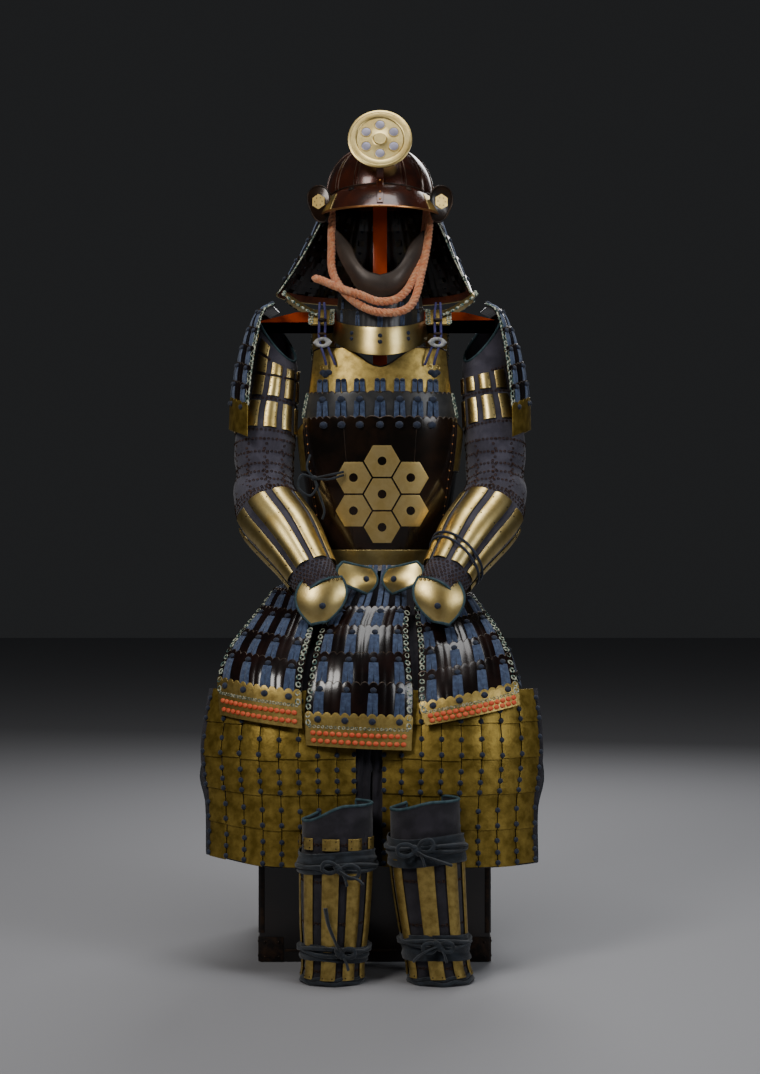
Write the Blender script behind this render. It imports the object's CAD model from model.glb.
import math

import bmesh
import bpy
import numpy as np
from bpy.props import FloatProperty, PointerProperty
from mathutils import Matrix, Vector


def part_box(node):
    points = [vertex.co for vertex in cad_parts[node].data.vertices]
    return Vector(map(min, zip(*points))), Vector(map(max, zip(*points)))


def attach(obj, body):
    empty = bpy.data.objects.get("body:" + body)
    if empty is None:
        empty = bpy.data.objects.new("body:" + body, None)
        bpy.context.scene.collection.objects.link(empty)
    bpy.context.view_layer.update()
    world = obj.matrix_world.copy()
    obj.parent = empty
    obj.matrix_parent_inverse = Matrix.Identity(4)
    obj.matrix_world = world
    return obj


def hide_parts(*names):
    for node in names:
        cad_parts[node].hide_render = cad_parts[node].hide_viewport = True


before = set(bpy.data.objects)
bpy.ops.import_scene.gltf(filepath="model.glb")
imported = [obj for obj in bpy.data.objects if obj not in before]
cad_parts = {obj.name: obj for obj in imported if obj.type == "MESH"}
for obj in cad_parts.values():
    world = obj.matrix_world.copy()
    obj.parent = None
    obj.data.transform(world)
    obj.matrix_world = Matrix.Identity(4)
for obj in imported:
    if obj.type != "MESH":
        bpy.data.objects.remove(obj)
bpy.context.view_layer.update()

bl_info = {
    "name": "Samurai armour",
    "version": (1, 0, 0),
    "blender": (4, 5, 0),
    "location": "3D View > Sidebar > Armour",
    "description": "The looks of a samurai armour on its stand and armour chest",
    "category": "Add Mesh",
}

MM = 0.001
# All sizes below are millimetres in the armour's own frame: its trunk stands on X = 0, Y = 0, and -Y is its front.
CHEST = {"low": (-228, -226, 0), "high": (208, 174, 575), "lid": 45}
SHIFT = np.array(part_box("chest_body")[0]) / MM - np.array(CHEST["low"])  # from that frame to the part's own
BOWL = {"y": 10, "z": 1476, "wide": 106, "deep": 122, "high": 106, "power": 2.2, "hole": 0.13, "ribs": 14}
BRIM = {"y": -40, "wide": 118, "deep": 132, "z": 1435, "root": 1488, "drop": 11, "turn": 72, "root_turn": 63}
DISC = {"radius": 62.4, "y": -118, "z": 1574, "lean": 17.7}
FLAP = {"x": 119, "y": -74, "z": 1455, "wide": 50, "high": 72, "turn": 24}
TASSET_TOP = 746  # height at which the tassets' cords leave the waist
SHIN_Y = -387  # middle of both shin guards
ROPE = 17  # diameter of the twisted rope
RING = 4.4  # pitch of a sleeve's mail
EYE_HEIGHT = 802  # of the camera
SIDES = ((-1, "left"), (1, "right"))
LAME_ROWS = (0, 0.12, 0.3, 0.6, 1)  # rows of faces down a lame, closest under its scalloped edge


# ---------------------------------------------------------------- surfaces
def vec(x, y, z):
    return np.stack(np.broadcast_arrays(*(np.asarray(n, float) for n in (x, y, z))), -1)


def mix(a, b, t):
    return a + (b - a) * t


def ease(t):
    t = np.clip(t, 0, 1)
    return t * t * (3 - 2 * t)


def sin(degrees):
    return np.sin(np.radians(degrees))


def cos(degrees):
    return np.cos(np.radians(degrees))


def spread(count, start=0.0, end=1.0):
    return np.linspace(start, end, count + 1)


def table(columns, *rows):
    """Reads a table with a row for each section at any value of its first column, on a smooth curve."""
    data = np.array(rows, float)
    keys = data[:, 0]

    def read(v):
        v = np.asarray(v, float)
        i = np.clip(np.searchsorted(keys, v, side="left") - 1, 0, len(keys) - 2)
        a, b = data[i], data[i + 1]
        before, after = data[np.maximum(i - 1, 0)], data[np.minimum(i + 2, len(keys) - 1)]
        span = b[..., :1] - a[..., :1]
        t = (v[..., None] - a[..., :1]) / span
        leave = (b - before) / (b[..., :1] - before[..., :1]) * span
        arrive = (after - a) / (after[..., :1] - a[..., :1]) * span
        value = (a * (2 * t**3 - 3 * t * t + 1) + leave * (t**3 - 2 * t * t + t)
                 + b * (3 * t * t - 2 * t**3) + arrive * (t**3 - t * t))
        return dict(zip(columns, np.moveaxis(value, -1, 0)))

    return read


def outward(at, u, v):
    step = 1e-3
    down = at(u, v + step) - at(u, v - step)
    right = at(u + step, v) - at(u - step, v)
    out = np.cross(down, right)
    return out / np.linalg.norm(out, axis=-1, keepdims=True)


def offset(at, distance):
    """The surface moved outwards, by a number or by a function of (u, v)."""

    def moved(u, v):
        far = distance(u, v) if callable(distance) else distance
        return at(u, v) + np.asarray(far)[..., None] * outward(at, u, v)

    return moved


def mirrored(at):
    return lambda u, v: at(1 - u, v) * np.array([-1, 1, 1])


def sided(at, side):
    return at if side < 0 else mirrored(at)


def window(at, u0, u1, v0, v1):
    """A part of a surface, as a surface of its own."""
    return lambda u, v: at(mix(u0, u1, u), mix(v0, v1, v))


def bowl_point(turn, share):
    share = np.minimum(share, 1)
    up = np.maximum(1 - share ** BOWL["power"], 0) ** (1 / BOWL["power"])
    return vec(BOWL["wide"] * share * sin(turn), BOWL["y"] - BOWL["deep"] * share * cos(turn),
               BOWL["z"] + BOWL["high"] * up)


def bowl_at(u, v):
    first = math.degrees(math.asin(BOWL["hole"] ** (BOWL["power"] / 2)))
    lean = np.clip(mix(first, 90, v), 0.5, 90)
    point = bowl_point(360 * u, sin(lean) ** (2 / BOWL["power"]))
    point[..., 2] -= np.maximum(v - 1, 0) * 100
    return point


def brim_at(u, v):
    turn = mix(-BRIM["turn"], BRIM["turn"], u)
    edge = vec(BRIM["wide"] * sin(turn), BRIM["y"] - BRIM["deep"] * cos(turn), BRIM["z"])
    root = bowl_point(mix(-BRIM["root_turn"], BRIM["root_turn"], u), 1.0)
    root[..., 1] -= 1
    root[..., 2] = BRIM["root"] - BRIM["drop"] * (2 * u - 1) ** 2
    point = mix(root, edge, np.asarray(v)[..., None])
    point[..., 2] += 5 * sin(180 * np.clip(v, 0, 1))
    return point


NECK = table(
    ("v", "left", "right", "back", "z", "turn"),
    (0, 107, 107, 123, 1482, 117),
    (0.12, 110, 110, 126, 1458, 114),
    (0.4, 138, 134, 145, 1398, 110),
    (0.7, 172, 160, 166, 1338, 107),
    (1, 206, 184, 186, 1286, 104),
)


def neck_at(u, v):
    row = NECK(v)
    angle = 180 + mix(-row["turn"], row["turn"], u)
    wide = mix(row["right"], row["left"], ease(u))
    return vec(wide * sin(angle), BOWL["y"] - row["back"] * cos(angle), row["z"])


CHIN = table(
    ("v", "topX", "topY", "topZ", "lowX", "lowY", "lowZ"),
    (0, -96, -46, 1417, -98, -44, 1409),
    (0.2, -58, -98, 1371, -80, -92, 1352),
    (0.35, -42, -124, 1335, -58, -114, 1309),
    (0.43, -24, -136, 1315, -36, -124, 1277),
    (0.5, 0, -140, 1307, 0, -128, 1267),
)


def chin_at(u, v):
    u, v = np.broadcast_arrays(np.asarray(u, float), np.asarray(v, float))
    side = np.where(u > 0.5, -1, 1)
    row = CHIN(np.where(u > 0.5, 1 - u, u))
    top, low = vec(row["topX"] * side, row["topY"], row["topZ"]), vec(row["lowX"] * side, row["lowY"], row["lowZ"])
    point = mix(top, low, v[..., None])
    point[..., 1] -= 7 * sin(180 * np.clip(v, 0, 1))
    return point


def throat_at(u, v):
    turn = mix(-74, 74, u)
    z = mix(1274, 1152, v) + mix(4, 44, v) * (1 - cos(turn)) / 0.724
    return vec(mix(84, 93, v) * sin(turn), -mix(120, 136, v) * cos(turn), z)


TRUNK = table(
    ("v", "wide", "deep"),
    (730, 127.5, 104.5),
    (775, 129.5, 107),
    (900, 148, 120),
    (1000, 160, 125),
    (1040, 160, 124),
    (1079, 152, 120),
    (1180, 140, 103),
)
POWER = 2.5  # how square the trunk is in plan: 2 is an ellipse
SQUARENESS = 2 / POWER
BODY = {"top": 1046, "foot": 768, "out": (7.4, 3.4)}  # heights of the front plate, and how far it stands out at each


def trunk_at(turn, z, out=0):
    """A point of the cuirass: turn in degrees from the front towards +X, at a height."""
    row = TRUNK(z)
    s, c = sin(turn), cos(turn)
    return vec((row["wide"] + out) * np.sign(s) * np.abs(s) ** SQUARENESS,
               -(row["deep"] + out) * np.sign(c) * np.abs(c) ** SQUARENESS, z)


def scoop(x, low, high, half):
    return mix(low, high, ease(np.abs(x) / half)) - 7 * ease((np.abs(x) - 118) / 24)


def front_at(x, z, out=0):
    """The point of the cuirass's front at x and a height."""
    row = TRUNK(np.asarray(z, float))
    inside = np.clip(1 - np.abs(x / (row["wide"] + out)) ** POWER, 0.01, 1)
    return vec(x, -(row["deep"] + out) * inside ** (1 / POWER), z)


def top_plate_at(u, v):
    turn = mix(-63, 63, u)
    x = trunk_at(turn, 1150)[..., 0]
    return trunk_at(turn, mix(scoop(x, 1133, 1172, 76), 1079, v))


def lame_at(u, v):
    return trunk_at(mix(-64, 64, u), mix(1090, 1036, v), mix(4, 3.4, v))


def body_at(u, v):
    return trunk_at(mix(-60, 60, u), mix(BODY["top"], BODY["foot"], v), mix(*BODY["out"], v))


def back_at(u, v):
    turn = 180 + mix(-60, 60, u)
    x = trunk_at(turn, 1120)[..., 0]
    return trunk_at(turn, mix(scoop(x, 1150, 1168, 76), 768, v), 3.2)


def side_at(side):
    return lambda u, v: trunk_at(side * 90 + mix(-34, 34, u), mix(945, 769, v), mix(-0.7, -1, v))


def armpit_at(side):
    def at(u, v):
        across = 2 * u - 1
        top = 1026 - 16 * (1 - across * across)
        return trunk_at(side * 90 + 27 * across, mix(top, 932, v), 3.2)

    return at


STRAP = table(
    ("v", "y", "z"),
    (0, 82, 1140),
    (0.2, 74, 1186),
    (0.42, 42, 1238),
    (0.58, 0, 1250.3),
    (0.78, -42, 1244),
    (1, -82, 1216),
)


def strap_at(side):
    def at(u, v):
        row = STRAP(v)
        return vec(side * 115 + mix(-22, 22, u), row["y"], row["z"])

    return at


def wing_at(side):
    def left(u, v):
        y = mix(62, -66, u)
        z = mix(1251, 1290, np.maximum(v, 0) ** 1.3) - 12 * (y / 64) ** 2
        return vec(mix(-124, -190, v), y, z)

    return sided(left, side)


SHOULDER = table(
    ("v", "x", "z", "half", "bow"),
    (0, -212, 1262, 74, 8),
    (0.1, -238, 1252, 80, 14),
    (0.26, -260, 1214, 88, 24),
    (0.49, -280, 1154, 98, 34),
    (0.75, -293, 1084, 106, 40),
    (1, -296, 1016, 108, 42),
)


def shoulder_at(side):
    def left(u, v):
        row = SHOULDER(v)
        across = 1 - 2 * u
        return vec(row["x"] + row["bow"] * across**2, row["half"] * across, row["z"] - 0.45 * row["bow"] * across**2)

    return sided(left, side)


SLEEVE = table(
    ("v", "x", "y", "z", "r"),
    (0, -206, 4, 1246, 36),
    (0.08, -211, 2, 1195, 44),
    (0.25, -218, -6, 1086, 50),
    (0.38, -228, -22, 1000, 57),
    (0.49, -228, -40, 930, 53),
    (0.6, -226, -62, 880, 58),
    (0.68, -213, -86, 845, 62),
    (0.78, -178, -130, 802, 59),
    (0.88, -147, -172, 758, 49),
    (0.95, -121, -208, 717, 42),
    (1, -106, -228, 695, 38),
)
SLEEVE_TOP = 0.22
ARMHOLE_DROP = 92


def sleeve_at(side):
    def left(u, v):
        u, v = np.broadcast_arrays(np.asarray(u, float), np.asarray(v, float))
        row, ahead, behind = SLEEVE(v), SLEEVE(v + 0.01), SLEEVE(v - 0.01)
        axis = vec(*(ahead[n] - behind[n] for n in "xyz"))
        axis /= np.linalg.norm(axis, axis=-1, keepdims=True)
        front = np.array([0, -0.7, 0.7]) - (axis @ np.array([0, -0.7, 0.7]))[..., None] * axis
        front /= np.linalg.norm(front, axis=-1, keepdims=True)
        right = np.cross(front, axis)
        turn = 360 * u
        reach = front * cos(turn)[..., None] + right * sin(turn)[..., None]
        point = vec(row["x"], row["y"], row["z"]) + row["r"][..., None] * reach
        opening = np.maximum(0, 1 - v / SLEEVE_TOP)
        point[..., 2] -= ARMHOLE_DROP * opening * (0.5 + 0.5 * cos(turn - 62))
        return point

    return sided(left, side)


def hand_at(side):
    def left(u, v):
        half = 47 * np.maximum(sin(180 * mix(0.24, 0.93, v)), 0) ** 0.8
        across = 2 * u - 1
        crest = 15 * (1 - across**2) * sin(180 * mix(0.2, 0.9, v))
        return vec(mix(-108, -114, v) + half * across, mix(-232, -252, v) - crest - 9, mix(724, 642, v) + 3 * across)

    return sided(left, side)


def thumb_at(side):
    def left(u, v):
        half = 38 * np.maximum(sin(180 * mix(0.2, 0.88, v)), 0) ** 0.7
        across = 2 * u - 1
        crest = 8 * (1 - across**2) * sin(180 * mix(0.2, 0.9, v))
        return vec(-44 + half * across, mix(-196, -214, v) + 14 * across - crest, mix(748, 702, v) - 7 * across)

    return sided(left, side)


TASSET_COLUMNS = ("v", "x", "y", "z", "wide", "turn", "rise", "bow")
TASSET_ROWS = {
    "front_centre": (
        (0, 0, -112, TASSET_TOP, 104, 0, 0, 5),
        (0.05, -1, -124, 734, 106, 0, 0, 6),
        (0.19, -6, -180, 706, 120, 0, 0, 10),
        (0.332, -15, -228, 668, 142, 0, 0, 16),
        (0.435, -28, -258, 634, 160, 0, 0, 20),
        (0.583, -34, -300, 586, 176, 0, 0, 22),
        (0.723, -36, -332, 534, 190, 0, -1, 22),
        (0.855, -39, -348, 479, 196, 0, -2, 18),
        (1, -39, -356, 416, 192, 0, -3, 16),
    ),
    "front_left": (
        (0, -103, -86, TASSET_TOP, 84, -48, 0, 10),
        (0.05, -108, -94, 738, 88, -48, 0, 10),
        (0.19, -136, -128, 718, 104, -46, 0, 12),
        (0.332, -167, -165, 698, 122, -43, -2, 15),
        (0.435, -182, -200, 663, 138, -38, -4, 18),
        (0.583, -205, -250, 618, 152, -32, -6, 22),
        (0.723, -222, -282, 580, 164, -28, -7, 24),
        (0.855, -231, -314, 531, 172, -25, -7, 22),
        (1, -225, -332, 462, 166, -22, -7, 16),
    ),
    "front_right": (
        (0, 103, -86, TASSET_TOP, 84, 48, 0, 10),
        (0.05, 106, -94, 738, 88, 47, 0, 10),
        (0.19, 117, -130, 712, 106, 40, 2, 12),
        (0.332, 128, -168, 684, 130, 32, 6, 15),
        (0.435, 142, -208, 646, 146, 25, 9, 18),
        (0.583, 156, -250, 606, 162, 19, 11, 22),
        (0.723, 164, -286, 566, 176, 15, 11, 24),
        (0.855, 167, -324, 515, 186, 12, 11, 22),
        (1, 175, -340, 474, 180, 12, 11, 18),
    ),
}
SIDE_TASSET = (  # v, height, how far out from the waist, width, bow
    (0, TASSET_TOP, 0, 84, 7),
    (0.05, 736, 3, 86, 7),
    (0.19, 702, 26, 98, 10),
    (0.332, 668, 56, 112, 14),
    (0.435, 636, 82, 124, 16),
    (0.583, 588, 112, 136, 18),
    (0.723, 532, 134, 146, 18),
    (0.855, 480, 146, 152, 16),
    (1, 428, 150, 150, 14),
)
for place_name, facing in (("side_left", -97), ("side_right", 97), ("back_left", -152), ("back_right", 152)):
    foot = trunk_at(facing, TASSET_TOP, 9)
    TASSET_ROWS[place_name] = tuple(
        (v, foot[0] + out * sin(facing), foot[1] - out * cos(facing), z, wide, facing, 0, bow)
        for v, z, out, wide, bow in SIDE_TASSET
    )
TASSETS = {name: table(TASSET_COLUMNS, *rows) for name, rows in TASSET_ROWS.items()}
TASSET_EDGES = (0.332, 0.435, 0.583, 0.723, 0.855)


def tasset_at(name):
    def at(u, v):
        row = TASSETS[name](v)
        across = 2 * u - 1
        c, s = cos(row["turn"]), sin(row["turn"])
        half = row["wide"] / 2 * across
        back = row["bow"] * across * across
        return vec(row["x"] + half * c - back * s, row["y"] + half * s + back * c,
                   row["z"] + half * np.tan(np.radians(row["rise"])))

    return at


LAP = table(
    ("v", "y", "z", "left", "right", "round"),
    (0, -101, 750, -90, 90, 0),
    (0.047, -108, 722, -96, 96, 0),
    (0.158, -168, 677, -126, 122, 0.2),
    (0.28, -228, 626, -190, 162, 0.6),
    (0.38, -262, 580, -238, 210, 0.9),
    (0.475, -292, 530, -282, 256, 1),
    (0.567, -316, 476, -306, 284, 1),
    (0.655, -331, 420, -318, 294, 1),
    (0.76, -338, 352, -335, 304, 1),
    (0.84, -339, 300, -324, 292, 1),
    (1, -340, 198, -322, 292, 1),
)
KNEES = (-172, 152)
PANEL_SEAM = (-46, 6)


def lap_at(x, v):
    row = LAP(v)
    knee = np.where(x < -20, KNEES[0], KNEES[1])
    away = np.abs(x - knee) / 155
    swell = np.where(np.abs(x) > np.abs(knee), 78, 26)
    return vec(x, row["y"] + row["round"] * swell * away**2,
               row["z"] + 14 * row["round"] * ease((-x - 180) / 150) * ease((v - 0.6) / 0.4))


def apron_at(u, v):
    u, v = np.broadcast_arrays(np.asarray(u, float), np.asarray(v, float))
    row = LAP(v)
    point = lap_at(mix(row["left"], row["right"], u), v)
    waist = trunk_at(mix(-48, 48, u), 760 + 0 * u, -4.6)
    waist[..., 2] = point[..., 2]
    waist[..., 1] += point[..., 1] + 101
    return mix(waist, point, ease((v - 0.02) / 0.24)[..., None])


def panel_at(side):
    def surface(u, v):
        down = mix(0.5, 1, v)
        row = LAP(np.maximum(down, 0.84) * 0.5 + down * 0.5)
        first, last = (row["left"] + 2, PANEL_SEAM[0]) if side < 0 else (PANEL_SEAM[1], row["right"] - 2)
        return lap_at(mix(first, last, u), down)

    return offset(surface, 3.6)


SHIN_REACH = 148  # degrees that a shin guard reaches round the leg on either side
LEVEL = 300  # height from which its splints are measured
SHINS = {
    "left": {
        "rows": table(("v", "x", "wide", "deep"), (0, -77, 61, 50), (0.3, -78, 60, 50), (0.65, -81, 56, 47),
                      (0.9, -84, 50, 44), (1, -86, 53, 46)),
        "low": 292, "high": 322, "bars": (-96, -52, -9, 31, 70), "ties": ((240, 214), (70, 50)),
    },
    "right": {
        "rows": table(("v", "x", "wide", "deep"), (0, 81, 60, 50), (0.3, 84, 60, 50), (0.65, 94, 55, 47),
                      (0.9, 104, 50, 44), (1, 110, 55, 47)),
        "low": 312, "high": 329, "bars": (-100, -57, -4, 42, 84), "ties": ((264, 238), (92, 72)),
    },
}


def shin_at(side, out=0):
    """Round the shin guard, u from its open back through the front to the back again."""
    shin = SHINS[side]

    def at(u, v):
        turn = mix(-SHIN_REACH, SHIN_REACH, u)
        row = shin["rows"](v)
        top = mix(shin["low"], shin["high"], ease((sin(turn) + 1) / 1.3))
        return vec(row["x"] + (row["wide"] + out) * sin(turn), SHIN_Y - (row["deep"] + out) * cos(turn), mix(top, 0, v))

    return at


def level_at(side):
    """The same surface with v measured down from one height all round."""
    shin, skin = SHINS[side], shin_at(side)

    def at(u, v):
        top = mix(shin["low"], shin["high"], ease((sin(mix(-SHIN_REACH, SHIN_REACH, u)) + 1) / 1.3))
        return skin(u, 1 - (1 - v) * LEVEL / top)

    return at


def shin_share(turn):
    return (turn + SHIN_REACH) / (2 * SHIN_REACH)


# ---------------------------------------------------------------- meshes
def metres(points):
    return (np.asarray(points) + SHIFT) * MM


def new_mesh():
    bm = bmesh.new()
    bm.loops.layers.uv.verify()
    return bm


GRIDS = {}


def grid(across, down, ring):
    """A grid's faces, made once for each size, and the column and row of each of its corners."""
    key = (across, down, ring)
    if key not in GRIDS:
        bm = new_mesh()
        bmesh.ops.create_grid(bm, x_segments=across, y_segments=down, size=1, calc_uvs=True)
        co = np.array([vert.co for vert in bm.verts])
        i, j = np.rint((co[:, 0] + 1) / 2 * across), np.rint((1 - co[:, 1]) / 2 * down)
        if ring:
            for vert, turn, row in zip(bm.verts, 360 * i / across, j):
                vert.co = (cos(turn), sin(turn), row)
            bmesh.ops.remove_doubles(bm, verts=bm.verts, dist=1e-4)
            co = np.array([vert.co for vert in bm.verts])
            i, j = np.rint(np.degrees(np.arctan2(co[:, 1], co[:, 0])) / 360 * across) % across, np.rint(co[:, 2])
        mesh = bpy.data.meshes.new("grid")
        bm.to_mesh(mesh)
        bm.free()
        GRIDS[key] = (mesh, i.astype(int), j.astype(int))
    return GRIDS[key]


def lay(bm, at, us, vs, ring=False, whole=True):
    """A grid of faces over the surface at(u, v): u runs right and v down seen from outside."""
    mesh, i, j = grid(len(us) - 1, len(vs) - 1, ring)
    points = at(np.asarray(us, float)[i], np.asarray(vs, float)[j])
    mesh.vertices.foreach_set("co", (metres(points) if whole else points).ravel())
    bm.from_mesh(mesh)


STAMPS = {}


def stamp(bm, place, *form):
    """Adds a small form at a frame. The form is made once, by the function and the values given."""
    if form not in STAMPS:
        small = new_mesh()
        form[0](small, *form[1:])
        mesh = bpy.data.meshes.new("stamp")
        small.to_mesh(mesh)
        small.free()
        STAMPS[form] = (mesh, np.array([(*vert.co, 1) for vert in mesh.vertices]))
    mesh, points = STAMPS[form]
    mesh.vertices.foreach_set("co", (points @ np.array(place).T)[:, :3].ravel())
    bm.from_mesh(mesh)


def tube(bm, points, radius, sides=8, flat=1.0, caps=True):
    """A round or flattened bar along a line of points."""
    line = np.asarray(points, float)
    steps = np.gradient(line, axis=0)
    steps /= np.linalg.norm(steps, axis=1, keepdims=True)
    normal = np.cross(steps[0], (0.3, 0.2, 1))
    if np.linalg.norm(normal) < 1e-3:
        normal = np.cross(steps[0], (1, 0, 0))
    normals = []
    for step in steps:
        normal = normal - normal.dot(step) * step
        normal = normal / np.linalg.norm(normal)
        normals.append(normal)
    normals = np.array(normals)
    binormals = np.cross(steps, normals)
    radii = np.broadcast_to(np.asarray(radius, float), len(line)).copy()
    if caps:
        line = np.concatenate([line[:1], line, line[-1:]])
        normals = np.concatenate([normals[:1], normals, normals[-1:]])
        binormals = np.concatenate([binormals[:1], binormals, binormals[-1:]])
        radii = np.concatenate([[radii[0] * 0.01], radii, [radii[-1] * 0.01]])

    def at(u, v):
        k = np.rint(v * (len(line) - 1)).astype(int)
        turn = -360 * u
        r = radii[k][..., None]
        return line[k] + r * (normals[k] * cos(turn)[..., None] + flat * binormals[k] * sin(turn)[..., None])

    lay(bm, at, spread(sides), spread(len(line) - 1), ring=True)


def curve(points, count):
    """Points on a smooth line through the given ones."""
    rows = [(i, *point) for i, point in enumerate(points)]
    read = table(("v", "x", "y", "z"), *rows)(np.linspace(0, len(points) - 1, count))
    return np.stack([read["x"], read["y"], read["z"]], -1)


def even(points, step):
    """The same smooth line with even steps along it."""
    fine = curve(points, 60 * len(points))
    run = np.concatenate([[0], np.cumsum(np.linalg.norm(np.diff(fine, axis=0), axis=1))])
    count = max(2, int(round(run[-1] / step)) + 1)
    wanted = np.linspace(0, run[-1], count)
    return np.stack([np.interp(wanted, run, fine[:, k]) for k in range(3)], -1), run[-1]


def rope(bm, points, diameter, strands=3, pitch=26, sides=7):
    """Twisted strands round a smooth line. Returns the line and its length."""
    line, length = even(points, pitch / 9)
    steps = np.gradient(line, axis=0)
    steps /= np.linalg.norm(steps, axis=1, keepdims=True)
    side = np.cross(steps, (0.1, 1, 0.2))
    side /= np.linalg.norm(side, axis=1, keepdims=True)
    other = np.cross(steps, side)
    turn = np.linspace(0, 360 * length / pitch, len(line))
    thick = diameter * 0.29
    for k in range(strands):
        phase = turn + 360 * k / strands
        centre = line + (diameter / 2 - thick) * (side * cos(phase)[:, None] + other * sin(phase)[:, None])
        tube(bm, centre, thick, sides)
    return line, length


def spot(at, u, v, lift=0.0):
    """The frame at one point of a surface: x to the right, y up and z outwards."""
    u, v = np.float64(u), np.float64(v)
    out = outward(at, u, v)
    right = at(u + 1e-3, v) - at(u - 1e-3, v)
    right /= np.linalg.norm(right)
    up = np.cross(out, right)
    centre = metres(at(u, v) + lift * out)
    return Matrix([[right[k], up[k], out[k], centre[k]] for k in range(3)] + [[0, 0, 0, 1]])


def free(point, turn=(0, 0, 0)):
    """A frame in free space, turned by degrees about X, Y and Z."""
    place = Matrix.Translation(Vector(metres(point)))
    for degrees, axis in zip(turn, "XYZ"):
        place = place @ Matrix.Rotation(math.radians(degrees), 4, axis)
    return place


def icosphere(bm, detail):
    bmesh.ops.create_icosphere(bm, subdivisions=detail, radius=MM)


def ball(bm, place, x, y, z, detail=2):
    stamp(bm, place @ Matrix.Diagonal((x, y, z, 1)), icosphere, detail)


def block(bm, place, x, y, z, bevel=0.0):
    made = bmesh.ops.create_cube(bm, size=MM, matrix=place @ Matrix.Diagonal((x, y, z, 1)))["verts"]
    if bevel:
        edges = list({edge for vert in made for edge in vert.link_edges})
        bmesh.ops.bevel(bm, geom=edges, offset=bevel * MM, segments=2, profile=0.6, affect="EDGES")


def dome(bm):
    bmesh.ops.create_uvsphere(bm, u_segments=10, v_segments=6, radius=MM)


def stud(bm, place, radius, high):
    """A domed rivet head."""
    stamp(bm, place @ Matrix.Diagonal((radius, radius, high, 1)), dome)


def torus(bm, radius, thick, sides, rings, stretch):
    def at(u, v):
        reach = radius + thick * cos(360 * v)
        return vec(reach * cos(360 * u) * stretch, reach * sin(360 * u), -thick * sin(360 * v)) * MM

    lay(bm, at, spread(sides), spread(rings), ring=True, whole=False)
    bmesh.ops.remove_doubles(bm, verts=bm.verts, dist=1e-7)


def hoop(bm, place, radius, thick, sides=12, rings=6, stretch=1.0):
    """A ring lying in the frame's own plane."""
    stamp(bm, place, torus, radius, thick, sides, rings, stretch)


def braid(bm, at, u0, v0, u1, v1, wide, thick, lift, steps=5, sides=6):
    """A flat cord laid on a surface from one point to another. lift(t) is how high it runs."""
    lifted = lift if callable(lift) else (lambda t: lift + 0 * t)

    def on(u, v):
        uu, vv = mix(u0, u1, v), mix(v0, v1, v)
        out = outward(at, uu, vv)
        run = at(uu + (u1 - u0) * 0.01, vv + (v1 - v0) * 0.01) - at(uu, vv)
        run /= np.linalg.norm(run, axis=-1, keepdims=True)
        side = np.cross(run, out)
        turn = 360 * u
        return (at(uu, vv) + (lifted(v) + thick / 2 * sin(turn))[..., None] * out
                + (-wide / 2 * cos(turn))[..., None] * side)

    lay(bm, on, spread(sides), spread(steps), ring=True)


def along(bm, at, line, radius, sides=7, lift=0.0, closed=False):
    """A round piping along a line of (u, v) pairs on a surface."""
    uv = np.array(line, float)
    points = at(uv[:, 0], uv[:, 1]) + lift * outward(at, uv[:, 0], uv[:, 1])
    if closed:
        points = np.concatenate([points, points[:1]])
    tube(bm, points, radius, sides, caps=not closed)


def line_across(v, count):
    """The (u, v) pairs of a line across a surface."""
    return [(u, v) for u in spread(count)]


def line_down(u, count, start=0.0, end=1.0):
    """The (u, v) pairs of a line down a surface."""
    return [(u, v) for v in spread(count, start, end)]


def line_round(across, down):
    """The (u, v) pairs once round a surface."""
    return (line_across(0.0, across) + line_down(1.0, down)[1:] + line_across(1.0, across)[::-1][1:]
            + line_down(0.0, down)[::-1][1:-1])


def mail(bm, at, u0, u1, v0, v1, ring, lift=1.2):
    """Rows of small linked rings on a surface, from (u0, v0) to (u1, v1)."""
    mid_u, mid_v = (u0 + u1) / 2, (v0 + v1) / 2
    wide = np.linalg.norm(at(np.float64(u1), np.float64(mid_v)) - at(np.float64(mid_u), np.float64(mid_v))) * 2
    high = np.linalg.norm(at(np.float64(mid_u), np.float64(v1)) - at(np.float64(mid_u), np.float64(v0)))
    columns, rows = max(1, round(wide / (ring * 1.55))), max(1, round(high / (ring * 1.55)))
    for i in range(columns):
        for j in range(rows):
            shift = 0.25 if j % 2 else -0.25
            u = mix(u0, u1, min(max((i + 0.5 + shift) / columns, 0.02), 0.98))
            v = mix(v0, v1, (j + 0.5) / rows)
            place = spot(at, u, v, lift) @ Matrix.Rotation(math.radians(22 if (i + j) % 2 else -22), 4, "X")
            hoop(bm, place, ring * 0.5, ring * 0.15, 7, 4)


def creased(*folds):
    """Uneven creases in cloth. Each fold is u, v of both its ends, its half width as a share of u, and its height."""
    def height(u, v):
        total = 0 * u + 0 * v
        for u0, v0, u1, v1, wide, high in folds:
            length = (u1 - u0) ** 2 + (v1 - v0) ** 2
            t = np.clip(((u - u0) * (u1 - u0) + (v - v0) * (v1 - v0)) / length, 0, 1)
            away = np.hypot(u - mix(u0, u1, t), v - mix(v0, v1, t))
            fade = 0.35 + 0.65 * np.sin(np.pi * np.clip(t, 0.06, 0.94))
            total = total + high * np.exp(-((away / wide) ** 2)) * fade
        return total

    return height


def barrel(middle, half, least, high, flat):
    """The height of a long plate that is rounded across, over the (u, v) of the surface under it."""
    return lambda u, v: least + high * np.sqrt(np.maximum(flat, 1 - ((u - middle) / half) ** 2))


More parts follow.
